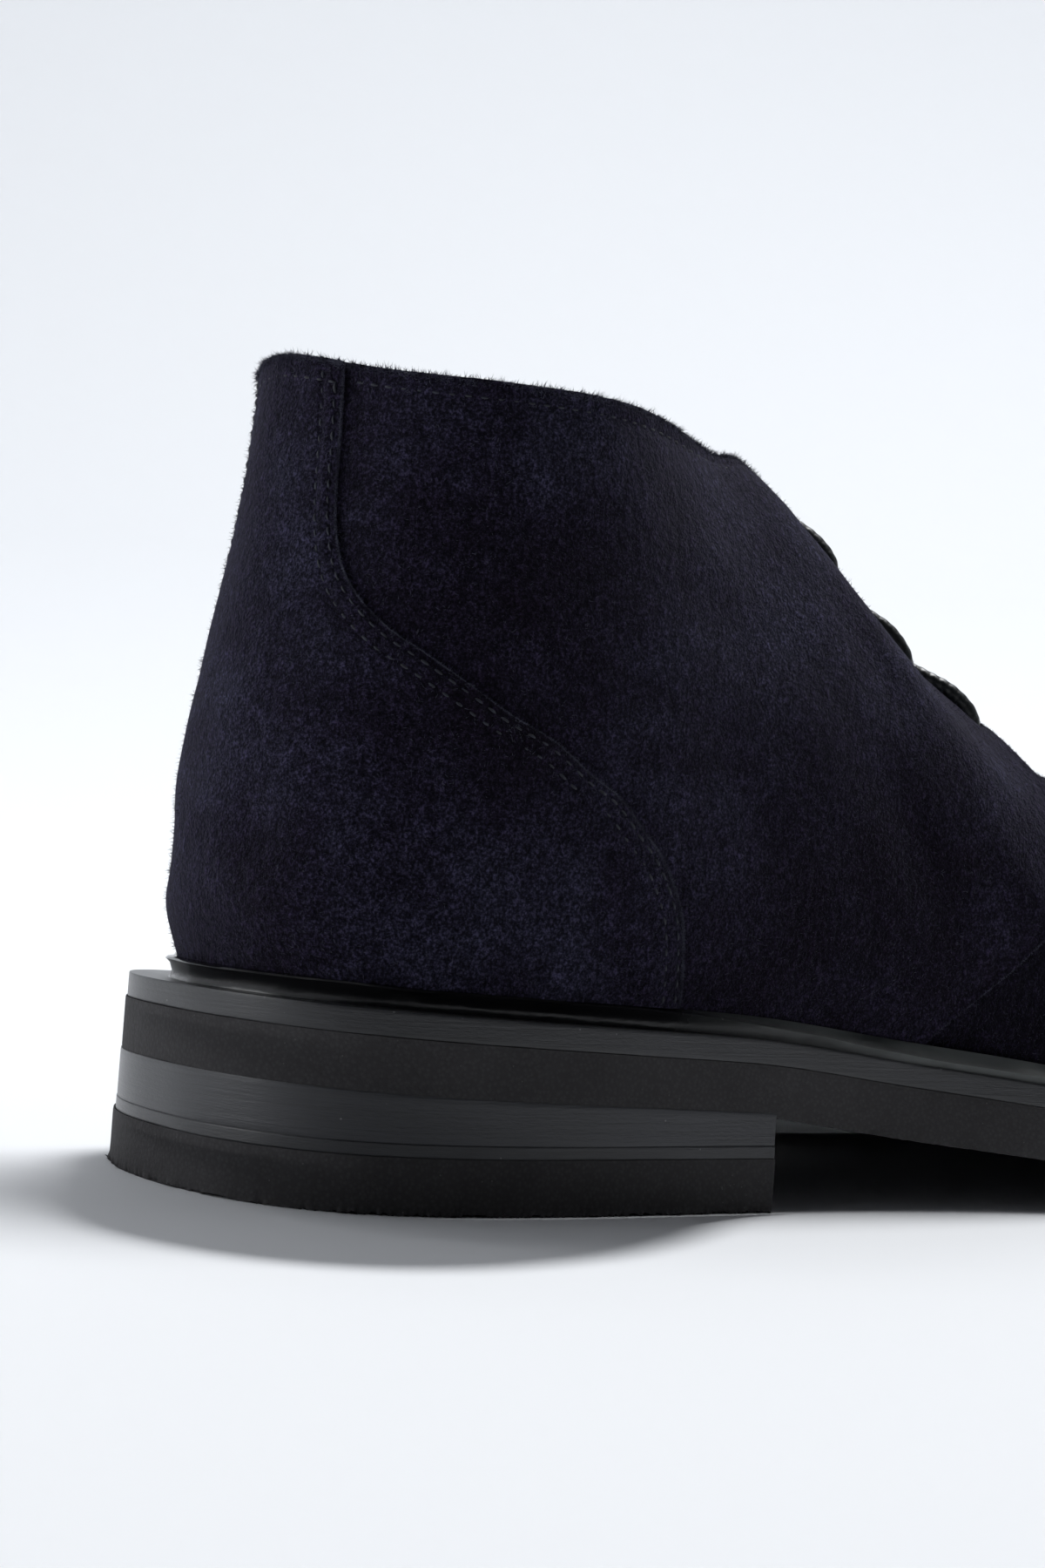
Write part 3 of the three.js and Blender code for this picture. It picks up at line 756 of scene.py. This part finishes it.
def quarter(name, side):
    columns = edgeSpacing(120, 22, 0.075)
    ts = np.concatenate([np.linspace(0, 0.94, 96)[:-1], np.linspace(0.94, 1, 16)])

    def uOf(a, t):
        return 0.05 + (quarterEdge(t) - 0.05) * a

    def offOf(u, t):
        row = rowOf(u)
        d = edgeDistance(row, t, quarterEdge)
        crown = upperAt(u, t)
        top = (1 - t) * 95  # about the distance from the collar in mm
        collarRow = -0.22 * np.exp(-(((top - 2.6) / 0.6) ** 2))
        raw = 0.16 * ripple(crown, 1.6, 5) * np.exp(-top / 0.8)
        for at, up in eyelets.values():
            hole = upperAt(np.array(at if side > 0 else wholeTurn - at), np.array(up - 0.02))
            away = np.linalg.norm(crown - hole, axis=-1)
            press = np.clip((t - up) / 0.04, 0, 1) * np.exp(-((np.abs(row - at) / 0.085) ** 2))
            puff = np.clip((t - up) / 0.05, 0, 1) * np.exp(-(((np.abs(row - at) - 0.26) / 0.12) ** 2))
            collarRow = collarRow - 1.0 * np.exp(-((away / 1.9) ** 4)) - 0.75 * press + 0.3 * puff
        rim = 0.22 * np.exp(-((d / 1.1) ** 2))
        fold = -0.3 * np.exp(-(((d - 10) / 0.8) ** 2)) * np.exp(-(((t - 0.13) / 0.05) ** 2))
        return softForm(u, t) + rim + fold + collarRow + raw + 0.07 * ripple(crown, 12, 2)

    turned = (lambda a, t: uOf(a, t)) if side > 0 else (lambda a, t: wholeTurn - uOf(a, t))
    return finished(panel(name, columns, ts, turned, offOf, upperSizes["quarterThick"]), "suede", suede)


quarter("quarterOuter", 1)
quarter("quarterInner", -1)
print("quarters made")

# vamp: from under one quarter round the toe to under the other
vampSizes = {"from": 5.0, "columns": 221, "thick": 0.7}
vampTs = np.concatenate([np.linspace(0, 0.12, 14)[:-1], np.linspace(0.12, 1, 100)])
vamp = panel(
    "vamp", np.linspace(0, 1, vampSizes["columns"]), vampTs,
    lambda a, t: vampSizes["from"] + (wholeTurn - 2 * vampSizes["from"]) * a, vampOff, vampSizes["thick"], 0,
)
# the vamp takes the darker suede copy, which is painted shade
finished(vamp, "suede", vampSuedePaintedShade, "upper")
print("vamp made")


def counterPiece():
    columns = np.concatenate([-edgeSpacing(60, 16, 0.12)[::-1], edgeSpacing(60, 16, 0.12)[1:]])
    ts = np.concatenate([np.linspace(0.045, 0.94, 110)[:-1], np.linspace(0.94, 1.0, 12)])

    def offOf(u, t):
        d = edgeDistance(rowOf(u), t, counterEdge)
        crown = upperAt(u, t)
        lie = boot["gap"] + boot["counter"]
        edgeDown = 0.75 * np.exp(-d / 1.3)  # skived and pressed down at its edge
        raw = 0.16 * ripple(crown, 1.6, 8) * np.exp(-(1 - t) * 95 / 0.8)
        return lie + softForm(u, t) + seamDent(d) - edgeDown + 0.07 * ripple(crown, 12, 4) + raw

    return panel("counterPanel", columns, ts, lambda a, t: counterEdge(t) * a, offOf, boot["counter"])


finished(counterPiece(), "suede", suede, "counter")
print("counter made")

# tongue: one soft sheet under the facings
tongueSizes = {"columns": 180, "rows": 23, "from": 6.95, "low": 0.74, "under": 2.7, "thick": 1.4}
tongueTs = np.linspace(tongueSizes["low"], 1, tongueSizes["rows"] + 1)
piece, i, j = gridOf("tonguePanel", tongueSizes["columns"], tongueSizes["rows"])
turnU = tongueSizes["from"] + (wholeTurn - 2 * tongueSizes["from"]) * i / tongueSizes["columns"]
points = upperOff(turnU, tongueTs[j], -tongueSizes["under"], closedEdge)
other = upperOff(wholeTurn - turnU, tongueTs[j], -tongueSizes["under"], closedEdge)
points = np.where((j == tongueSizes["rows"])[:, None], (points + other) / 2 * [1, 0, 1], points)
setPoints(piece, placed(points))
facingOut(piece)
applied(piece, "SOLIDIFY", thickness=tongueSizes["thick"] / 1000, offset=0)
smoothed(piece, 60)
finished(piece, "suede", suede, "tongue")
print("tongue made")


def edgeRow(edgeOfT, low, high, inward, side, lift):
    # evenly spaced places along a panel's edge, so far inside it: places, ways along, ways out
    t = np.linspace(low, high, 900)
    u = edgeOfT(t)
    p = upperAt(u, t)
    way = np.gradient(p, axis=0)
    way = unit(way)
    out = upperFacing(u, t)
    inside = np.cross(out, way)
    back = upperAt(u - 0.02, t) - p
    inside *= np.sign((inside * back).sum(1))[:, None]
    u, t = stepOn(u, t, inside, inward)
    keep = t < 0.985
    u, t = u[keep], np.clip(t[keep], 0, 1)
    if side < 0:
        u = wholeTurn - u
    return walkOn(u, t, lift)


def walkOn(u, t, lift):
    p = upperOff(u, t, lift + softForm(u, t))
    run = np.concatenate([[0], np.cumsum(np.linalg.norm(np.diff(p, axis=0), axis=1))])
    stops = np.arange(upperSizes["pitch"] / 2, run[-1], upperSizes["pitch"])
    place = np.stack([np.interp(stops, run, p[:, k]) for k in range(3)], 1)
    ahead = np.stack([np.interp(stops + 0.4, run, p[:, k]) for k in range(3)], 1)
    uu, tt = np.interp(stops, run, u), np.interp(stops, run, t)
    return place, ahead - place, upperFacing(uu, tt)


def framesOf(place, way, out):
    place, way, out = placed(place), placed(place + way) - placed(place), placed(place + out) - placed(place)
    way, out = unit(way), unit(out)
    side = unit(np.cross(out, way))
    out = np.cross(way, side)
    return np.stack([way, side, out, place], 2)


def stitchShape():
    # one stitch: a small thread whose two ends dip into the leather
    bpy.ops.mesh.primitive_uv_sphere_add(segments=8, ring_count=6, radius=1, location=(0, 0, 0))
    piece = named("oneStitch")
    inEdit(piece, lambda: bpy.ops.transform.rotate(
        value=math.pi / 2, orient_axis="Y", center_override=(0, 0, 0)))
    co = pointsOf(piece)
    half, thick = upperSizes["stitch"] / 2000, upperSizes["threadThick"] / 2000
    x = np.sign(co[:, 0]) * np.abs(co[:, 0]) ** 0.8
    corners = np.stack([x * half, co[:, 1] * thick, co[:, 2] * thick - 0.00022 * x**2], 1)
    faces = [tuple(f.vertices) for f in piece.data.polygons]
    bpy.data.objects.remove(piece)
    return corners, faces


stitchCorners, stitchFaces = stitchShape()
onCounter = boot["gap"] + boot["counter"] - 0.10
rowsOfStitches = []
for side in (1, -1):
    for inward in (upperSizes["seamOne"], upperSizes["seamTwo"]):
        rowsOfStitches.append(edgeRow(counterEdge, 0.05, 0.99, inward, side, onCounter - 0.06))

# collar row, from the counter's strip to the throat, and across the strip's own top
for side in (1, -1):
    collarU = np.linspace(1.0, 9.0, 900)
    reach = np.linalg.norm(upperAt(collarU, 1.0 + 0 * collarU) - upperAt(collarU, 0.97 + 0 * collarU), axis=1) / 0.03
    collarT = 1 - 2.6 / reach
    turned = collarU if side > 0 else wholeTurn - collarU
    rowsOfStitches.append(walkOn(turned, collarT, -0.2))
stripU = np.linspace(-0.85, 0.85, 200)
rowsOfStitches.append(walkOn(stripU, 1 - 2.9 / 95 + 0 * stripU, onCounter))
frames = np.concatenate([framesOf(*row) for row in rowsOfStitches])
frames[:, :, :3] *= (1 + 0.12 * rng.normal(size=len(frames)))[:, None, None]
stitches = joinedCopies("stitches", stitchCorners, stitchFaces, frames)
smoothed(stitches, 80)
finished(stitches, "suede", thread)
print("stitches:", len(frames))


def fibreFrames(u, t, lift, length, lean, thick):
    # short fibres that stand on the surface and lean about
    place = upperOff(u, t, lift)
    out = upperFacing(u, t)
    way = unit(out + lean * rng.normal(size=out.shape))
    other = unit(np.cross(way, rng.normal(size=way.shape)))
    place, tip, beside = placed(place), placed(place + way), placed(place + other)
    x, y = tip - place, beside - place
    z = np.cross(x, y) * 1000
    long = length * rng.uniform(0.5, 1.3, size=len(u))
    return np.stack([x * long[:, None], y * thick, z * thick, place], 2)


fibreCorners = [(0, 1, 0), (0, -0.5, 0.87), (0, -0.5, -0.87), (1, 0, 0)]
fibreFaces = [(0, 2, 1), (0, 1, 3), (1, 2, 3), (2, 0, 3)]


def napOn(name, count, pickPlaces, length, lean, thick, material):
    u, t, lift = pickPlaces(count)
    frames = fibreFrames(u, t, lift, length, lean, thick)
    piece = joinedCopies(name, fibreCorners, fibreFaces, frames)
    return finished(piece, "suede", material)


def everywhere(count):
    u = rng.uniform(0, wholeTurn, count)
    t = rng.uniform(0.03, 1, count)
    row = rowOf(u)
    onCounterPanel = (row < counterEdge(t)) & (t > 0.05)
    ahead = row > quarterEdge(t)
    lift = np.where(onCounterPanel, boot["gap"] + boot["counter"], 0) + softForm(u, t)
    lift = np.where(ahead, vampOff(u, t), lift) - 0.1
    return u, t, lift


def onCollar(count):
    tufts = rng.uniform(-9.3, 9.3, count // 14)
    u = np.concatenate([np.repeat(tufts, 7), rng.uniform(-9.3, 9.3, count - 7 * len(tufts))])
    u = u + 0.004 * rng.normal(size=count)
    row = np.abs(u)
    t = 1 - np.abs(rng.normal(size=count)) * 0.005
    lift = rng.uniform(-1.1, 0.0, count) + np.where(row < counterEdge(t), boot["gap"] + boot["counter"], 0)
    return np.mod(u, wholeTurn), t, lift


def onEdge(edgeOfT, base):
    def places(count):
        t = rng.uniform(0.05, 0.99, count)
        u = edgeOfT(t) - np.abs(rng.normal(size=count)) * 0.006
        lift = base + softForm(u, t) + rng.uniform(-0.5, 0.05, count)
        return np.where(rng.random(count) < 0.5, u, wholeTurn - u), t, lift
    return places


onCounterEdge = onEdge(counterEdge, boot["gap"] + boot["counter"] - 0.3)
# the collar, quarter and counter fuzz wear the lighter edge fibre, which is partly painted highlight
fibreRows = [  # name, count, where, length in mm, lean, thickness in mm, material
    ("counterFuzz", 9000, onCounterEdge, 0.4, 0.9, 0.05, edgeFibreAndHighlight),
    ("quarterFuzz", 11000, onEdge(quarterEdge, 0.15), 0.45, 0.9, 0.06, edgeFibreAndHighlight),
    ("napFibres", 49000, everywhere, 0.8, 1.3, 0.05, nap),
    ("collarFuzz", 16000, onCollar, 1.1, 0.8, 0.06, edgeFibreAndHighlight),
]
for fibreRow in fibreRows:
    napOn(*fibreRow)
print("fibres made")

tries = np.linspace(2, 7, 20001)
breast = float(tries[np.searchsorted(outlineRing(tries)[:, 0], boot["heelLength"])])


def soleLayer(name, bottomOf, topOf, inset, end, ragged, columns, seed):
    # a slab on the sole's outline: a grid from heel to toe, made thick, and cut into levels
    across = 8
    piece, i, j = gridOf(name, columns, across)
    applied(piece, "SOLIDIFY", thickness=1.0, offset=-1)
    for cut in (-0.04, -0.12, -0.3, -0.5, -0.7, -0.85, -0.95):
        inEdit(piece, lambda: bpy.ops.mesh.bisect(plane_co=(0, 0, cut), plane_no=(0, 0, 1)))
    co = pointsOf(piece)
    u = (co[:, 0] + 1) / 2 * end
    side = co[:, 1]
    depth = -co[:, 2]  # 0 on the top, 1 on the bottom
    rim = (np.abs(side) > 0.999) | (u < 1e-4) | (u > lastRow - 1e-4)
    turn = np.where(side < 0, wholeTurn - u, u)
    spot = outlineRing(turn) + np.stack([0 * u, 0 * u, depth * 3], 1)
    wobble = ripple(spot, 30, seed + 1) * 0.06
    edge = inset + np.where(rim, wobble, 0)
    softTop = np.where(rim, 0.06 * np.exp(-depth / 0.02) + 0.05 * np.exp(-(1 - depth) / 0.02), 0)
    edge = edge + softTop
    crumb = 0
    if ragged:
        rough = ripple(spot, 1.3, seed + 2)
        coarse = ripple(spot, 5, seed + 3)
        crumb = ragged * (0.6 * rough + 0.5 * coarse) * np.exp(-(1 - depth) / 0.05)
        crumb = crumb * (1 if end < lastRow else u > breast)
        edge = edge + np.where(rim, -0.45 * crumb, 0)
    outer = outlineAt(u, edge)
    inner = outlineAt(wholeTurn - u, edge)
    f = ((1 + side) / 2)[:, None]
    p = inner * (1 - f) + outer * f
    top, bottom = topOf(p[:, 0]), bottomOf(p[:, 0])
    p[:, 2] = top * (1 - depth) + bottom * depth + np.where(rim & (depth > 0.99), 0.35 * np.abs(crumb), 0)
    setPoints(piece, placed(p))
    facingOut(piece)
    smoothed(piece, 50)
    return piece


gap = boot["gap"]
thinTop = boot["topPiece"] + boot["thinLift"]


def level(height):
    return lambda s: height + 0 * s


soleParts = [  # name, slot, bottom, top, inset, end, ragged, material, node of the source
    ("midsoleLayer", "midsole", lambda s: outsoleTop(s) + gap * 0.2, midsoleTop,
     0.8, lastRow, 0, midEdge, "midsole"),
    ("outsoleLayer", "rubber", treadAt, outsoleTop,
     0.5, lastRow, 0.4, rubber, "outsole"),
    ("heelLift", "midsole", level(thinTop), lambda s: 17.2 - 0.03 * s,
     0.4, breast, 0, liftEdge, "heel_lift"),
    ("thinLift", "midsole", level(boot["topPiece"]), level(thinTop),
     0.3, breast, 0, thinEdge, "heel_lift_thin"),
    ("topPiece", "rubber", level(0), level(boot["topPiece"]),
     0.0, breast, 1.4, rubber, "heel_top_piece"),
]
for index, (name, slotName, bottomOf, topOf, inset, end, ragged, material, cadNode) in enumerate(soleParts):
    columns = 1000 if end == lastRow else 620
    layer = soleLayer(name, bottomOf, topOf, inset, end, ragged, columns, 10 * index)
    finished(layer, slotName, material, cadNode)
print("sole made")


# insole board inside the wall
piece, i, j = gridOf("insoleBoard", 160, 12)
applied(piece, "SOLIDIFY", thickness=1.0, offset=-1)
co = pointsOf(piece)
u = (co[:, 0] + 1) / 2 * lastRow
f = ((1 + co[:, 1]) / 2)[:, None]
inside = -(boot["wall"] + 2 * gap)
p = upperOff(wholeTurn - u, 0 * u, inside) * (1 - f) + upperOff(u, 0 * u, inside) * f
p[:, 2] = midsoleTop(p[:, 0]) + gap + boot["insole"] * (1 + co[:, 2])
setPoints(piece, placed(p))
facingOut(piece)
smoothed(piece, 50)
finished(piece, "lining", lining, "insole")
print("insole made")


# welt: raised and narrow round the heel, wide and sloped on the forepart
weltSizes = {"backInset": 3.6, "heelInset": 7.0, "foreInset": 1.6, "foreWall": 1.2, "columns": 720}


def weltShape():
    sizes = weltSizes
    piece, i, j = ringOf("weltStrip", sizes["columns"], 14)
    u = i * wholeTurn / sizes["columns"]
    row = rowOf(u)
    fore = np.clip((row - 3.2) / 2.2, 0, 1)
    back = np.minimum(1, row / 1.6)
    heelInset = sizes["backInset"] + (sizes["heelInset"] - sizes["backInset"]) * back
    inset = heelInset * (1 - fore) + sizes["foreInset"] * fore
    k = np.clip((row - 3.6) / 2, 0, 1)
    wall = boot["welt"] * (1 - k) + sizes["foreWall"] * k
    outer = outlineAt(u, inset)
    foot = upperOff(u, 0 * u, 1.6 * gap)
    lip = upperOff(u, 0.045 + 0 * u, 1.3 * gap)
    base = midsoleTop(outer[:, 0]) + 0.02
    sag = 0.12 * ripple(outer, 16, 31)
    lipTop = midsoleTop(lip[:, 0]) + boot["welt"] + 0.3
    hollow = 1 - np.clip((row - 3.2) / 1.5, 0, 1)  # round the heel the wall is scooped out under its lip

    def under(inset, rise):
        p = outlineAt(u, inset)
        return np.stack([p[:, 0], p[:, 1], base + wall * rise], 1)

    # the section: outer foot, up the wall with a rounded lip, over the top to the upper, down and back
    sections = np.stack([
        under(inset + 0.9 * hollow, 0.0),
        under(inset + 1.1 * hollow, 0.35),
        under(inset + 0.7 * hollow, 0.72),
        np.stack([outer[:, 0], outer[:, 1], base + wall * 0.92 + sag], 1),
        outer * 0.9 + lip * 0.1, outer * 0.72 + lip * 0.28,
        outer * 0.5 + lip * 0.5, outer * 0.25 + lip * 0.75,
        lip, lip * 0.6 + foot * 0.4,
        foot, foot * 0.7 + outer * 0.3, foot * 0.4 + outer * 0.6, foot * 0.15 + outer * 0.85,
    ], 0)
    topHere = base + wall + sag
    for corner, share in ((4, 0.1), (5, 0.28), (6, 0.5), (7, 0.75), (8, 1.0)):
        rise = topHere * (1 - share) + lipTop * share
        sections[corner][:, 2] = rise - 0.25 * math.sin(math.pi * share) * k * 2
    sections[9][:, 2] = (lipTop + midsoleTop(lip[:, 0])) / 2
    for corner in (10, 11, 12, 13):
        sections[corner][:, 2] = midsoleTop(sections[corner][:, 0]) + 0.02
    points = sections[j, np.arange(len(j))]
    setPoints(piece, placed(points))
    facingOut(piece)
    smoothed(piece, 35)
    return piece


finished(weltShape(), "welt", weltFinish, "welt")
print("welt made")


def alongCurve(points, count):
    # an even walk on a smooth curve through a few points
    points = np.array(points, float)
    padded = np.concatenate([[2 * points[0] - points[1]], points, [2 * points[-1] - points[-2]]])
    walk = []
    for k in range(len(points) - 1):
        a, b, c, d = padded[k:k + 4]
        for f in np.linspace(0, 1, 24, endpoint=False):
            bend = (2 * a - 5 * b + 4 * c - d) * f**2 + (3 * b - a - 3 * c + d) * f**3
            walk.append(0.5 * (2 * b + (c - a) * f + bend))
    walk.append(points[-1])
    walk = np.array(walk)
    run = np.concatenate([[0], np.cumsum(np.linalg.norm(np.diff(walk, axis=0), axis=1))])
    even = np.linspace(0, run[-1], count)
    return np.stack([np.interp(even, run, walk[:, k]) for k in range(3)], 1), run[-1]


def cordMesh(name, line, length, thick, around=16):
    # a round cord: a grid rolled up along the line, with a UV map that counts the braid's turns
    count = len(line)
    piece, i, j = gridOf(name, around, count - 1)
    way = unit(np.gradient(line, axis=0))
    side = np.zeros_like(way)
    side[0] = np.cross(way[0], [0.3, 0.2, 1])
    for k in range(1, count):
        side[k] = side[k - 1] - way[k] * np.dot(side[k - 1], way[k])
    side = unit(side)
    up = np.cross(way, side)
    angle = i / around * 2 * math.pi
    swell = 1 + 0.035 * np.sin(angle * 3 + j * length / (count - 1) * 3.2)
    radius = thick / 2 * swell * np.where((j == 0) | (j == count - 1), 0.05, 1)
    points = line[j] + (side[j] * np.cos(angle)[:, None] + up[j] * np.sin(angle)[:, None]) * radius[:, None]
    piece.data.uv_layers.new(name="braid")
    for other in [layer for layer in piece.data.uv_layers if layer.name != "braid"]:
        piece.data.uv_layers.remove(other)
    braid = piece.data.uv_layers["braid"]
    loops = np.empty(len(piece.data.loops), int)
    piece.data.loops.foreach_get("vertex_index", loops)
    uv = np.stack([i[loops] / around * 3, j[loops] * length / (count - 1) / 1.7], 1)
    braid.data.foreach_set("uv", uv.astype(np.float32).ravel())
    setPoints(piece, placed(points))
    facingOut(piece)
    smoothed(piece, 80)
    return piece


def barLine(where, proud, press, settle):
    # out of one eyelet, over both facings, and into the other eyelet
    round_, up = where
    lift = boot["lace"] / 2
    sinks = [(-0.03, -3.4), (-0.028, -1.4), (-0.008, 0.5 + proud / 2), (0.16, lift + proud)]
    onTop = [(0.4, lift - press / 2), (0.7, lift - press), (0.98, lift - press - 0.3)]

    def onSide(side, f, off):
        t = up + (1 - up) * f if f >= 0 else up + f
        return upperOff(round_ if side > 0 else wholeTurn - round_, t, off)

    path = [onSide(1, f, off) for f, off in sinks + onTop]
    crown = (path[-1] + onSide(-1, 0.98, onTop[-1][1])) / 2 - [0, 0, settle]
    return path + [crown] + [onSide(-1, f, off) for f, off in (sinks + onTop)[::-1]]


laceRows = [  # eyelet, how proud at the eyelet, pressed in on the facing, sag at the middle, in mm
    ("top", -0.7, 2.2, 1.2), ("middle", 0.1, 1.3, 1.0), ("low", -0.2, 1.7, 1.2),
]
for name, proud, press, settle in laceRows:
    line, length = alongCurve(barLine(eyelets[name], proud, press, settle), 170)
    bar = cordMesh("laceBar" + name.title(), line, length, boot["lace"])
    finished(bar, "lace", laceFinish, "lace_bar_" + name)
print("lace made")

studio = {
    "floorTone": (0.86, 0.872, 0.893), "wallShadedTone": (0.69, 0.705, 0.73), "radius": 0.7, "fillet": 2.0, "wall": 2.8,
    "sky": (0.95, 0.97, 1.0), "skyStrength": 0.42,
}


def sweep():
    # a round floor that curves up into a wall all about
    profile = [(0.0, 0.0), (studio["radius"], 0.0)]
    for k in range(1, 31):
        a = k / 30 * math.pi / 2
        profile.append((studio["radius"] + studio["fillet"] * math.sin(a), studio["fillet"] * (1 - math.cos(a))))
    profile.append((studio["radius"] + studio["fillet"], studio["wall"]))
    piece, i, j = gridOf("sweep", 96, len(profile) - 1)
    rs = np.array(profile)
    a = i / 96 * 2 * math.pi
    setPoints(piece, np.stack([rs[j, 0] * np.cos(a), rs[j, 0] * np.sin(a), rs[j, 1]], 1))
    facingOut(piece)
    inEdit(piece, bpy.ops.mesh.flip_normals)
    smoothed(piece, 60)
    material, tree, shader = newMaterial("palePaper")
    where = node(tree, "TexCoord").outputs["Object"]
    away = node(tree, "VectorMath", operation="LENGTH")
    tree.links.new(where, away.inputs[0])
    # painted shade: the paper is painted darker further from the boot and up the wall, so the wall reads dimmer than
    # the floor
    fade = ranged(tree, away.outputs["Value"], 0.0, 1.0, 0.45, 1.7)
    tone = mix(tree, fade, studio["floorTone"], studio["wallShadedTone"])
    shade(tree, shader, {"Base Color": tone, "Roughness": 0.9, "Specular IOR Level": 0.1})
    dressed(piece, material)


sweep()
world = bpy.context.scene.world or bpy.data.worlds.new("studio")
bpy.context.scene.world = world
world.use_nodes = True
background = next(n for n in world.node_tree.nodes if n.type == "BACKGROUND")
background.inputs["Color"].default_value = (*studio["sky"], 1)
background.inputs["Strength"].default_value = studio["skyStrength"]


def softLight(name, place, aim, size, power, tone):
    lamp = bpy.data.lights.new(name, "AREA")
    lamp.shape = "DISK"
    lamp.size = size
    lamp.energy = power
    lamp.color = tone
    holder = bpy.data.objects.new(name, lamp)
    bpy.context.scene.collection.objects.link(holder)
    holder.location = place
    holder.rotation_euler = (Vector(aim) - Vector(place)).to_track_quat("-Z", "Y").to_euler()


lampRows = [  # name, place, aim, size, power, colour
    ("backTop", (0.32, -0.85, 2.25), (0, 0, 0.05), 0.9, 53, (0.98, 0.99, 1.0)),
    ("wallWash", (1.3, -0.9, 2.5), (2.5, -1.7, 1.0), 1.6, 14, (0.98, 0.99, 1.0)),
    ("leftWindow", (0.5, 1.6, 0.5), (0, 0.1, 0.05), 0.9, 6, (0.97, 0.98, 1.0)),
]
for lampRow in lampRows:
    softLight(*lampRow)


blackBoard, boardTree, boardShader = newMaterial("blackBoard")
shade(boardTree, boardShader, {"Base Color": (0.01, 0.01, 0.012, 1), "Roughness": 1.0})


def darkFlag(name, corners):
    # a black board the camera doesn't see: it darkens reflections, and keeps light from the arch
    piece, i, j = gridOf(name, 1, 1)
    low, high = Vector(corners[0]), Vector(corners[1])
    level = low.z == high.z
    setPoints(piece, [
        (low.x + (high.x - low.x) * (b if level else a), low.y + (high.y - low.y) * a, low.z + (high.z - low.z) * b)
        for a, b in zip(i, j)
    ])
    dressed(piece, blackBoard)
    piece.visible_camera = False


flagRows = [  # name, low corner and high corner
    ("archFlag", ((0.028, -0.085, 0.012), (0.11, 0.064, 0.012))),
    ("archCard", ((0.053, -0.085, 0.0), (0.053, 0.06, 0.012))),
    ("sideFlag", ((-0.8, -1.9, 0.0), (-0.8, 1.9, 1.5))),
    ("topFlag", ((-0.8, -1.9, 1.5), (-0.18, 1.9, 1.5))),
]
for flagRow in flagRows:
    darkFlag(*flagRow)


def heelCard(name, height, share):
    # a card held beside the heel keeps the lamp off the floor there; only its shadow shows
    reach = [(-0.8, 0), (0.5, 11), (1.5, 27), (2.2, 35), (3.0, 27), (3.6, 17), (4.3, 4), (4.7, 0)]
    piece, i, j = gridOf(name, 60, 2)
    u = -0.8 + 5.5 * i / 60
    p = outlineAt(u, -1.0 - np.maximum(0.3, smoothRows(reach, u)) * share * j / 2)
    p[:, 2] = height
    setPoints(piece, placed(p))
    dressed(piece, blackBoard)
    piece.visible_camera = False
    piece.visible_diffuse = False
    piece.visible_glossy = False


heelCard("wideCard", 24, 1.05)
heelCard("nearCard", 7, 0.6)

bpy.context.scene.view_settings.view_transform = "Standard"
bpy.context.scene.view_settings.look = "None"

view = {
    "place": (-0.3628, 0.3317, 0.0533), "toward": (0.8328, -0.5533, 0.0182), "roll": 4.23,
    "focal": 3200, "frameHeight": 1800, "film": 36.0,
}


def makeCamera():
    toward = Vector(view["toward"]).normalized()
    right = toward.cross(Vector((0, 0, 1))).normalized()
    up = right.cross(toward)
    roll = math.radians(view["roll"])
    camRight = right * math.cos(roll) + up * math.sin(roll)
    camUp = up * math.cos(roll) - right * math.sin(roll)
    lens = bpy.data.cameras.new("camera")
    lens.sensor_fit = "AUTO"
    lens.sensor_width = view["film"]
    lens.lens = view["focal"] / view["frameHeight"] * view["film"]
    lens.clip_start = 0.01
    lens.clip_end = 50
    camera = bpy.data.objects.new("camera", lens)
    bpy.context.scene.collection.objects.link(camera)
    turn = Matrix((camRight, camUp, -toward)).transposed().to_4x4()
    camera.matrix_world = Matrix.Translation(view["place"]) @ turn
    bpy.context.scene.camera = camera


makeCamera()
print("stage made")
